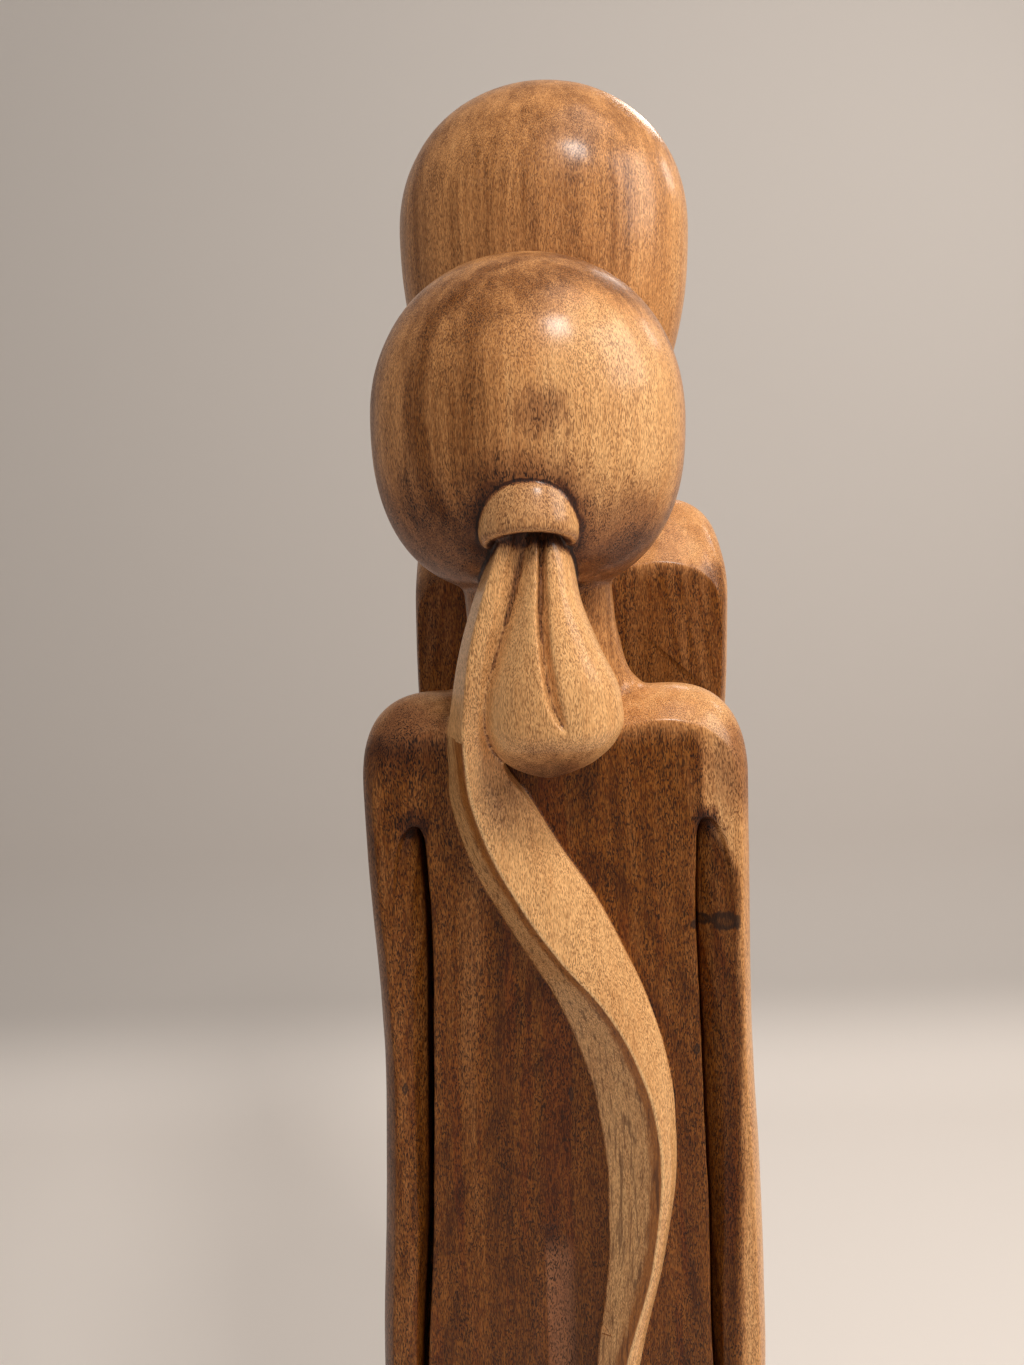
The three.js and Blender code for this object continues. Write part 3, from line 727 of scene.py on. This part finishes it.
def caked_and_shaded_share(points):
    """Wax and old soil about the hair band, with painted shade: thick in its mouth under the lip, in a ring
    where it meets the head, and along its rims on the hair.
    """
    local = points / MM - (WOMAN["x"], WOMAN["y"], WOMAN["shoulder"])
    back = np.array(band_frame().inverted())
    x, y, along_axis = (local @ back[:3, :3].T + back[:3, 3]).T
    out = np.hypot(x, y) - BAND["radius"] - BAND["half_thickness"]
    beyond = np.hypot(np.maximum(out, 0), np.maximum(abs(along_axis) - BAND["half_length"], 0))
    seam = CAKED_AND_SHADED["seam"] * ramp(-beyond, -CAKED_AND_SHADED["seam_reach"], -0.5)
    halo = CAKED_AND_SHADED["halo"] * ramp(-beyond, -CAKED_AND_SHADED["halo_reach"], -1)
    ring = (seam + halo) * ramp(out, -0.8, 0.2)
    ring *= ramp(along_axis, -BAND["half_length"] - CAKED_AND_SHADED["below_mouth"], -BAND["half_length"] + 1)
    above_lip = along_axis + BAND["half_length"]
    mouth = ramp(above_lip, -4, -1.4) * ramp(-out, 2.2, 3.6) * (above_lip < CAKED_AND_SHADED["mouth_depth"])
    from_middle = abs(along_axis)
    rims = CAKED_AND_SHADED["rim"] * ramp(from_middle, 4.5, 9.4) * ramp(-from_middle, -11.5, -10) * ramp(out, -3, -1)
    return np.clip(ring * (1 - hair_share(points)) + mouth + rims * hair_share(points), 0, 1)


def ridge_place(points):
    """How far right of the long lock's ridge each point is, in millimetres, and a large value elsewhere."""
    x, y, z = (points / MM - (WOMAN["x"], WOMAN["y"], WOMAN["shoulder"])).T
    half = along_points(LOCK_HALF_WIDTH, z)
    ridge = along_points(LOCK_MIDDLE, z) - half + 2 * half * along_points(LOCK_RIDGE_PLACE, z)
    return np.where((hair_share(points) > 0.5) & (z < RIDGE_TOP), x - ridge, OFF_THE_LOCK)


def hollow_amount(thing, repeats):
    """How far smoothing would lift each point, in millimetres: above zero in hollows, below on edges."""
    before = points_of(thing)
    normals = np.empty(before.size, np.float32)
    thing.data.vertices.foreach_get("normal", normals)
    rub(thing, repeats)
    graph = bpy.context.evaluated_depsgraph_get()
    after = np.empty(before.size, np.float32)
    thing.evaluated_get(graph).data.vertices.foreach_get("co", after)
    thing.modifiers.clear()
    return ((after.reshape(-1, 3) - before) * normals.reshape(-1, 3)).sum(axis=1) / MM


def carving():
    """The whole statue as one fine skin: fused, rubbed down, thinned out, and a little wavy by hand."""
    tied = [bulb(WOMAN), band(WOMAN), long_lock(WOMAN)]
    figures = [figure_form(WOMAN, WOMAN_HEAD, tied), figure_form(MAN, MAN_HEAD, [])]
    statue = joined("carved_couple", [*figures, web(), plinth()])
    fuse = statue.modifiers.new("fuse", "REMESH")
    fuse.mode = "VOXEL"
    fuse.voxel_size = VOXEL
    settled(statue)
    rub(statue, FILLET_STEPS, fillet_share(points_of(statue)))
    rub(statue, RUB_STEPS)
    settled(statue)
    statue.vertex_groups.clear()
    fine, broad = (hollow_amount(statue, repeats) for repeats in HOLLOW_STEPS)
    keep_on_points(statue, "fine_hollow", fine)
    keep_on_points(statue, "broad_hollow", broad)
    places = points_of(statue)
    keep_on_points(statue, "hair", hair_share(places))
    keep_on_points(statue, "caked_and_shaded", caked_and_shaded_share(places))
    keep_on_points(statue, "ridge", ridge_place(places))
    thin = statue.modifiers.new("thin", "DECIMATE")
    thin.ratio = MOST_TRIANGLES / (2 * len(statue.data.polygons))
    thin.use_collapse_triangulate = True
    waves = bpy.data.textures.new("hand_waves", "CLOUDS")
    waves.noise_scale = WAVE["length"]
    wave = statue.modifiers.new("wave", "DISPLACE")
    wave.texture = waves
    wave.strength = WAVE["height"] * 2
    wave.mid_level = 0.5
    settled(statue)
    inside = np.clip(points_of(statue), np.array(cad_box[0]) + EDGE_ROOM, np.array(cad_box[1]) - EDGE_ROOM)
    statue.data.vertices.foreach_set("co", inside.ravel())
    statue.data.shade_smooth()
    return statue


class Wiring:
    """Places shader nodes and wires them, so that a finish reads as a sum of its parts."""

    def __init__(self, material):
        self.tree = material.node_tree

    def node(self, kind, inputs=None, **settings):
        made = self.tree.nodes.new(kind)
        for key, value in settings.items():
            setattr(made, key, value)
        for key, value in (inputs or {}).items():
            self.feed(made.inputs[key], value)
        return made

    def feed(self, socket, value):
        if isinstance(value, bpy.types.NodeSocket):
            self.tree.links.new(value, socket)
        else:
            socket.default_value = value

    def math(self, operation, first, second=0.0, clamp=False):
        made = self.node("ShaderNodeMath", {0: first, 1: second}, operation=operation, use_clamp=clamp)
        return made.outputs[0]

    def times(self, first, second, clamp=False):
        return self.math("MULTIPLY", first, second, clamp)

    def plus(self, first, second, clamp=False):
        return self.math("ADD", first, second, clamp)

    def minus(self, first, second):
        return self.math("SUBTRACT", first, second)

    def larger(self, first, second):
        return self.math("MAXIMUM", first, second)

    def kept(self, name):
        """A value that keep_on_points left on the mesh."""
        return self.node("ShaderNodeAttribute", attribute_name=name).outputs["Fac"]

    def parts(self, vector):
        return self.node("ShaderNodeSeparateXYZ", {0: vector}).outputs[:]

    def mix_value(self, share, first, second):
        made = self.node("ShaderNodeMix", {0: share, 2: first, 3: second}, data_type="FLOAT")
        return made.outputs[0]

    def vector(self, operation, first, second=(0, 0, 0), scale=1.0):
        made = self.node("ShaderNodeVectorMath", {0: first, 1: second}, operation=operation)
        if operation == "SCALE":
            self.feed(made.inputs["Scale"], scale)
        return made.outputs["Value" if operation in ("LENGTH", "DISTANCE") else "Vector"]

    def step(self, value, low, high, start=0.0, end=1.0):
        """Start below low, end above high, with a smooth step between them."""
        inputs = {0: value, 1: low, 2: high, 3: start, 4: end}
        return self.node("ShaderNodeMapRange", inputs, interpolation_type="SMOOTHSTEP").outputs[0]

    def mix(self, share, first, second, blend="MIX"):
        made = self.node("ShaderNodeMix", data_type="RGBA", blend_type=blend, clamp_factor=True)
        self.feed(made.inputs["Factor"], share)
        self.feed(made.inputs[6], first)
        self.feed(made.inputs[7], second)
        return made.outputs[2]

    def noise(self, place, size, detail=2.0, roughness=0.5, output="Fac"):
        """Noise with a grain of the given size, in millimetres along X, Y and Z."""
        scaled = self.vector("DIVIDE", place, size)
        inputs = {"Vector": scaled, "Scale": 1.0, "Detail": detail, "Roughness": roughness}
        return self.node("ShaderNodeTexNoise", inputs).outputs[output]


def wood_tone(w, place, grain, streak):
    """How dark the wood is at each place, from 0 for sapwood to 1 for heartwood."""
    flat_x, flat_y, up = w.parts(place)

    # Heartwood fills the middle of the log, and the raised locks are cut from the paler wood outside it.
    uneven = w.minus(w.noise(place, HEART["uneven_size"], 3.0), 0.5)
    uneven = w.times(uneven, HEART["uneven"])
    behind = w.plus(w.plus(flat_y, HEART["back"]), uneven)
    deep = w.step(behind, -HEART["blend"], HEART["blend"])
    shrunk = w.step(up, HEART["corner_full"], HEART["corner_from"], 0.0, HEART["corner_inset"])
    on_woman = w.step(flat_y, 8, -8)
    side = w.plus(w.plus(flat_x, w.times(shrunk, on_woman)), uneven)
    side = w.plus(side, w.times(on_woman, HEART["man_wider"]))
    limit = HEART["right"] + HEART["man_wider"]
    inward = w.step(side, limit + HEART["side_blend"], limit - HEART["side_blend"])
    level = w.plus(up, w.times(on_woman, HEART["man_rise"]))
    level = w.plus(level, w.times(uneven, 2.0))
    low = w.step(level, HEART["ends"] + HEART["man_rise"], HEART["narrows"] + HEART["man_rise"])
    hair = w.kept("hair")
    heart = w.times(w.times(deep, inward), low)
    heart = w.times(heart, w.minus(1.0, hair))

    # The heads sit where the two kinds meet, and growth rings cross the woman's in pale and dark arcs.
    head = w.step(up, HEAD_ZONE["foot"], HEAD_ZONE["full"])
    across = w.vector("MULTIPLY", w.vector("SUBTRACT", place, (*ARC["centre"], 0)), (1, 1, 0))
    arc = w.minus(w.vector("LENGTH", across), ARC["radius"])
    arc = w.plus(arc, w.times(w.minus(up, ARC["level"]), ARC["taper"]))
    arc = w.plus(arc, w.times(uneven, 0.5))
    dark_line = w.times(w.step(arc, -ARC["line"], -1), w.step(arc, ARC["line"] * 1.2, 1))
    brown = w.times(w.step(arc, -2, 3), w.step(arc, ARC["width"] + 3, ARC["width"] - 3))
    arcs = w.plus(w.times(dark_line, ARC["dark"]), w.times(brown, ARC["brown"]))
    arcs = w.minus(arcs, w.step(arc, ARC["width"], ARC["width"] + 12, 0.0, ARC["pale"]))
    # The heads are darker towards their left: partly the wood, partly painted shade on the side away from
    # the lamps.
    shaded = w.step(flat_x, -28, -66, HEAD_ZONE["tone"], HEAD_ZONE["left_tone"])
    head_tone = w.plus(w.times(arcs, on_woman), shaded)

    sap = w.mix_value(hair, w.mix_value(head, SAP_TONE, head_tone), HAIR_TONE)
    tone = w.mix_value(heart, sap, HEART_TONE)
    from_middle = w.math("ABSOLUTE", flat_x)
    paler = w.step(from_middle, PALER_SIDES["starts"], PALER_SIDES["full"], 0.0, PALER_SIDES["tone"])
    tone = w.minus(tone, paler)
    darker = w.step(up, DARKER_BELOW["starts"], DARKER_BELOW["full"], 0.0, DARKER_BELOW["tone"])
    tone = w.plus(tone, w.times(heart, darker))
    broad = w.noise(grain, SWING["broad_size"], 3.0, 0.6)
    swing = w.plus(w.times(broad, SWING["broad"]), w.times(streak, SWING["streak"]))
    patch = w.step(w.noise(grain, RING["patch_size"], 1.0), 0.44, 0.64, RING["faint"], RING["strong"])
    on_heart = w.times(w.step(tone, 0.4, 0.7), patch)
    swing = w.plus(swing, w.times(ring_lines(w, grain, streak), on_heart))
    return w.plus(tone, w.minus(swing, SWING["middle"]), clamp=True)


def ring_lines(w, grain, streak):
    """Growth rings, each darker towards its outer side. They taper, so a flat face cuts arches."""
    from_pith = w.vector("MULTIPLY", w.vector("SUBTRACT", grain, (*RING["pith"], 0)), (1, 1, 0))
    taper = w.times(w.parts(grain)[2], RING["taper"])
    radius = w.plus(w.vector("LENGTH", from_pith), taper)
    turns = w.plus(w.math("DIVIDE", radius, RING["width"]), w.times(streak, 0.5))
    turn = w.math("FRACT", turns)
    return w.times(w.step(turn, 0.35, 0.85), w.step(turn, 1.0, 0.9))


def flecks(w, place, grain):
    """Cut vessels show as short dark dashes along the grain, and as dots where the grain comes out."""
    shake = w.vector("SUBTRACT", w.noise(place, (2.4, 2.4, 6), 0.0, output="Color"), (0.5, 0.5, 0.5))
    spot = w.vector("ADD", grain, w.vector("MULTIPLY", shake, (0.9, 0.9, 3)))
    crowd = w.step(w.noise(grain, (7, 7, 40), 1.0), 0.36, 0.6, 0.7, 1.0)
    pores = w.step(w.noise(spot, PORE["size"], 0.0), PORE["low"], PORE["high"])
    pores = w.times(pores, crowd)

    scaled = w.vector("DIVIDE", spot, VESSEL["size"])
    cells = w.node("ShaderNodeTexVoronoi", {"Vector": scaled, "Scale": 1.0})
    own = w.node("ShaderNodeSeparateColor", {0: cells.outputs["Color"]}).outputs
    reach = w.step(own[0], 0.0, 1.0, VESSEL["least"], VESSEL["most"])
    open_vessel = w.step(w.math("DIVIDE", cells.outputs["Distance"], reach), 1.0, 0.6)
    open_vessel = w.times(open_vessel, w.step(own[1], 0.1, 0.9, 0.2, 0.9))
    return w.larger(pores, open_vessel)


def grime_and_shade(w, place):
    """Dirt that years of wax have left, with painted shade: in the creases and hollows, about the hair band,
    in stains, and in dark spots where shade falls.
    """
    mottle = w.minus(w.noise(place, (5, 5, 8), 4.0, 0.7), 0.5)
    fine = w.kept("fine_hollow")
    broad = w.kept("broad_hollow")
    by_head = w.step(w.parts(place)[2], DIRT_AND_SHADE_ZONE["foot"], DIRT_AND_SHADE_ZONE["full"])
    fine = w.mix_value(by_head, w.minus(fine, DIRT_AND_SHADE_ZONE["thinner_below"]), fine)
    # Creases: soil lodged in them, together with painted shade.
    crease_dirt_and_shade = w.step(w.plus(fine, w.times(mottle, 0.1)), 0.03, 0.17)
    # Broad hollows: soil and painted shade, less below the head.
    hollow_dirt_and_shade = w.minus(broad, w.step(by_head, 1.0, 0.0, 0.0, 1.6))
    hollow_dirt_and_shade = w.step(w.plus(hollow_dirt_and_shade, mottle), 0.15, 1.4, 0.0, 0.65)
    # About the hair band: soil and wax, with painted shade in its mouth and along its seam and rims.
    caked_and_shaded = w.kept("caked_and_shaded")
    caked_and_shaded = w.times(caked_and_shaded, w.plus(1.0, w.times(mottle, 1.6)), clamp=True)
    hair = w.kept("hair")
    bare = w.minus(1.0, hair)
    thinner = w.times(hair, DIRT_AND_SHADE_ZONE["thinner_on_hair"])
    crease_dirt_and_shade = w.times(crease_dirt_and_shade, w.minus(1.0, thinner))
    dirt_and_shade = w.larger(w.larger(crease_dirt_and_shade, hollow_dirt_and_shade), caked_and_shaded)
    ragged = w.times(mottle, SPOT_EDGE)
    # Stains, some of them painted shade: at the slot tops, on the left shoulder, at the head's lower left,
    # under the bulb and beside it.
    for spots, share in ((STAINS_AND_SHADE, bare), (HAIR_STAINS_AND_SHADE, hair)):
        for centre, reach, strength in spots:
            away = w.plus(w.vector("DISTANCE", place, centre), ragged)
            dark_spot = w.times(w.step(away, reach, reach / 3, 0.0, strength), share)
            dirt_and_shade = w.larger(dirt_and_shade, dark_spot)
    return dirt_and_shade


def lock_streaks_and_highlight(w, wood, grain):
    """The long lock's left side is greyed and streaked, with a dark yellow line along its ridge and a
    painted highlight just right of the ridge.
    """
    right_of_ridge = w.kept("ridge")
    left = w.step(right_of_ridge, 0.3, -0.5)
    ragged = w.plus(right_of_ridge, w.times(w.noise(grain, (1.5, 1.5, 9), 3.0), 4.0))
    edge = 2 - RIDGE_LINE["width"]
    near = w.times(w.step(ragged, edge - 1.5, edge + 1.5), left)
    dark_streak = w.step(w.noise(grain, LOCK_STREAK_SIZE, 3.0, 0.7), 0.5, 0.66, 0.0, 0.75)
    wood = w.mix(w.times(left, 0.7), wood, GREYED, "MULTIPLY")
    wood = w.mix(w.times(dark_streak, left), wood, STREAK, "MULTIPLY")
    wood = w.mix(w.times(near, RIDGE_LINE["strength"]), wood, OCHRE, "MULTIPLY")
    # A painted highlight along the lit side of the ridge.
    ridge_highlight = w.times(w.step(right_of_ridge, -0.6, 0.1), w.step(right_of_ridge, 1.6, 0.5, 0.0, 0.4))
    return w.mix(ridge_highlight, wood, RIDGE_HIGHLIGHT)


def knots(w, place):
    """A round knot on the right arm, with its tail, and a few small pin knots."""
    x, y, z = w.parts(place)
    shaken = w.times(w.minus(w.noise(place, (2.5, 2.5, 2.5), 3.0), 0.5), 0.9)
    mask = 0.0
    for centre_x, centre_z, half_width, half_height in KNOTS:
        dx = w.math("DIVIDE", w.minus(x, centre_x), half_width)
        dz = w.math("DIVIDE", w.minus(z, centre_z), half_height)
        away = w.math("SQRT", w.plus(w.times(dx, dx), w.times(dz, dz)))
        away = w.plus(away, shaken)
        rim = w.minus(w.step(away, 1.15, 0.8), w.step(away, 0.6, 0.25, 0.0, 0.35))
        mask = w.larger(mask, rim)
    return w.times(mask, w.step(y, -35, -45))


def set_stops(ramp_node, stops):
    """Sets the colours of a ramp, given as places from 0 to 1 with their colours."""
    elements = ramp_node.color_ramp.elements
    while len(elements) < len(stops):
        elements.new(0.5)
    for element, (place, tint) in zip(elements, stops):
        element.position = place
        element.color = tint


def cleft_lit_facet(w, place):
    """Painted light: the cleft's left slope is painted paler, as if lit from the right."""
    x, y, z = w.parts(place)
    from_left = w.step(x, LIT_FACET_PLACE["left"], LIT_FACET_PLACE["left_full"])
    from_right = w.step(x, LIT_FACET_PLACE["right"], LIT_FACET_PLACE["right_full"])
    facet = w.times(from_left, from_right)
    facet = w.times(facet, w.step(z, LIT_FACET_PLACE["top"], LIT_FACET_PLACE["top_full"]))
    on_back = w.step(y, -20, -40)
    return w.times(facet, w.times(on_back, LIT_FACET_PLACE["share"]))


def waxed_wood():
    """One solid wood that runs through the whole block, with its pores, soiling and painted shade, knots and
    wax, and painted light on the cleft's slope and beside the long lock's ridge.
    """
    material = bpy.data.materials.new(WOOD_SLOT)
    material.use_nodes = True
    w = Wiring(material)
    shader = material.node_tree.nodes["Principled BSDF"]

    place = w.vector("SCALE", w.node("ShaderNodeTexCoord").outputs["Object"], scale=1 / MM)
    grain = place
    for way in ("wander", "ripple"):
        bend = w.noise(place, GRAIN[way + "_size"], 0.0, output="Color")
        bend = w.vector("SUBTRACT", bend, (0.5, 0.5, 0.5))
        grain = w.vector("ADD", grain, w.vector("MULTIPLY", bend, (GRAIN[way], GRAIN[way], 0)))
    streak = w.noise(grain, STREAK_SIZE, 3.0, 0.65)
    fibre = w.noise(grain, FIBRE_SIZE, 1.0, 0.6)

    tone = wood_tone(w, place, grain, streak)
    tones = w.node("ShaderNodeValToRGB", {0: tone})
    set_stops(tones, WOOD_TONES)
    red = w.step(w.noise(grain, (8, 8, 260), 2.0), 0.54, 0.64)
    red_share = w.times(red, w.step(tone, 0.6, 0.85, 0.0, 0.5))
    wood = w.mix(red_share, tones.outputs[0], REDDISH, "MULTIPLY")
    fibre_share = w.times(w.step(fibre, 0.34, 0.66), w.step(tone, 0.2, 0.8, 0.5, 1.0))
    wood = w.mix(fibre_share, wood, FIBRE, "MULTIPLY")

    wood = lock_streaks_and_highlight(w, wood, grain)
    # Painted light: the cleft's left slope is paler.
    wood = w.mix(cleft_lit_facet(w, place), wood, LIT_FACET)
    # Soil and painted shade brown and darken the wood in creases, hollows, about the band and in spots.
    dirt_and_shade = grime_and_shade(w, place)
    fleck = flecks(w, place, grain)
    depth = w.plus(w.step(tone, 0.1, 0.8, 0.62, 0.85), w.times(dirt_and_shade, 0.5), clamp=True)
    fleck_tone = w.plus(w.step(tone, 0.15, 0.7), dirt_and_shade, clamp=True)
    wood = w.mix(w.times(fleck, depth), wood, w.mix(fleck_tone, PALE_FLECK, DARK_FLECK))
    wood = w.mix(dirt_and_shade, wood, STAINED_AND_SHADED, "MULTIPLY")
    wood = w.mix(w.times(w.math("POWER", dirt_and_shade, 1.6), 0.85), wood, DIRT_AND_SHADE)
    wood = w.mix(w.times(knots(w, place), 0.85), wood, KNOT)
    w.feed(shader.inputs["Base Color"], wood)

    patch = w.noise(place, GLOSS["patch_size"], 3.0)
    rough = w.step(patch, 0.3, 0.7, GLOSS["smooth"], GLOSS["rough"])
    rough = w.plus(rough, w.times(fleck, GLOSS["in_flecks"]))
    rough = w.plus(rough, w.times(dirt_and_shade, GLOSS["in_dirt_and_shade"]), clamp=True)
    w.feed(shader.inputs["Roughness"], rough)
    shader.inputs["Specular IOR Level"].default_value = 0.2
    w.feed(shader.inputs["Coat Weight"], w.step(tone, 0.35, 0.75, COAT["on_pale"], COAT["on_dark"]))
    shader.inputs["Coat Roughness"].default_value = 0.2
    relief = w.minus(w.times(fibre, 0.3), fleck)
    bump = w.node("ShaderNodeBump", {"Height": relief, "Distance": PORE_RELIEF * MM, "Strength": 0.6})
    w.feed(shader.inputs["Normal"], bump.outputs[0])
    return material


def photo_camera():
    """The camera stands where the photograph was taken: above the shoulders, looking slightly down."""
    data = bpy.data.cameras.new("camera")
    data.lens = CAMERA["lens"]
    data.sensor_width = CAMERA["sensor"]
    data.clip_start = CAMERA["nearest"]
    camera = bpy.data.objects.new("camera", data)
    bpy.context.scene.collection.objects.link(camera)
    tilt = Matrix.Rotation(math.radians(CAMERA["tilt"]), 4, "X")
    roll = Matrix.Rotation(math.radians(CAMERA["roll"]), 4, "Z")
    camera.matrix_world = Matrix.Translation(CAMERA["place"]) @ tilt @ roll
    bpy.context.scene.camera = camera


def soft_light(name, place, size, watts):
    """A square lamp turned towards the statue."""
    data = bpy.data.lights.new(name, "AREA")
    data.size = size
    data.energy = watts
    data.color = LAMP_TINT
    lamp = bpy.data.objects.new(name, data)
    bpy.context.scene.collection.objects.link(lamp)
    lamp.location = place
    aim = Vector(LAMP_AIM) - lamp.location
    lamp.rotation_euler = aim.to_track_quat("-Z", "Y").to_euler()
    lamp.visible_camera = False


def studio():
    """A pale floor that curves up into a pale wall, seen only from its front; the wall is painted darker, as
    shade.
    """
    bm = bmesh.new()
    bend = SWEEP["bend"]
    bend_start = SWEEP["wall"] - bend
    path = [(SWEEP["front"], 0.0), (bend_start, 0.0)]
    for k in range(1, SWEEP["bend_steps"] + 1):
        angle = k / SWEEP["bend_steps"] * math.pi / 2
        path.append((bend_start + bend * math.sin(angle), bend - bend * math.cos(angle)))
    path.append((SWEEP["wall"], SWEEP["top"]))
    row = [bm.verts.new((-SWEEP["half_width"], y, z)) for y, z in path]
    edges = [bm.edges.new(pair) for pair in zip(row, row[1:])]
    drawn = bmesh.ops.extrude_edge_only(bm, edges=edges)["geom"]
    moved = [v for v in drawn if isinstance(v, bmesh.types.BMVert)]
    bmesh.ops.translate(bm, verts=moved, vec=(2 * SWEEP["half_width"], 0, 0))
    bmesh.ops.recalc_face_normals(bm, faces=bm.faces)
    if sum(f.normal.z for f in bm.faces) < 0:
        bmesh.ops.reverse_faces(bm, faces=bm.faces)
    for face in bm.faces:
        face.smooth = True
    sweep = finished("studio_sweep", bm)
    material = bpy.data.materials.new("studio_paper")
    material.use_nodes = True
    w = Wiring(material)
    shader = material.node_tree.nodes["Principled BSDF"]
    height = w.parts(w.node("ShaderNodeTexCoord").outputs["Object"])[2]
    # The wall is painted darker than the floor: painted shade.
    paper = w.mix(w.step(height, 0.0, SWEEP["paper_edge"]), PAPER_FLOOR, SHADED_PAPER_WALL)
    w.feed(shader.inputs["Base Color"], paper)
    shader.inputs["Roughness"].default_value = 0.9
    behind = w.node("ShaderNodeNewGeometry").outputs["Backfacing"]
    clear = w.node("ShaderNodeBsdfTransparent").outputs[0]
    seen = w.node("ShaderNodeMixShader", {0: behind, 1: shader.outputs[0], 2: clear})
    w.feed(material.node_tree.nodes["Material Output"].inputs[0], seen.outputs[0])
    sweep.data.materials.append(material)


def studio_light():
    """Soft air all about, and five lamps on the right of the camera."""
    world = bpy.data.worlds.new("studio_air")
    bpy.context.scene.world = world
    world.use_nodes = True
    background = world.node_tree.nodes["Background"]
    background.inputs[0].default_value = AIR["tint"]
    background.inputs[1].default_value = AIR["strength"]
    for name, place, size, watts in LAMPS:
        soft_light(name, place, size, watts)


statue = carving()
statue.data.materials.append(waxed_wood())
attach(statue, BODY)
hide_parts(NODE)

photo_camera()
studio()
studio_light()
bpy.context.scene.view_settings.view_transform = "Standard"
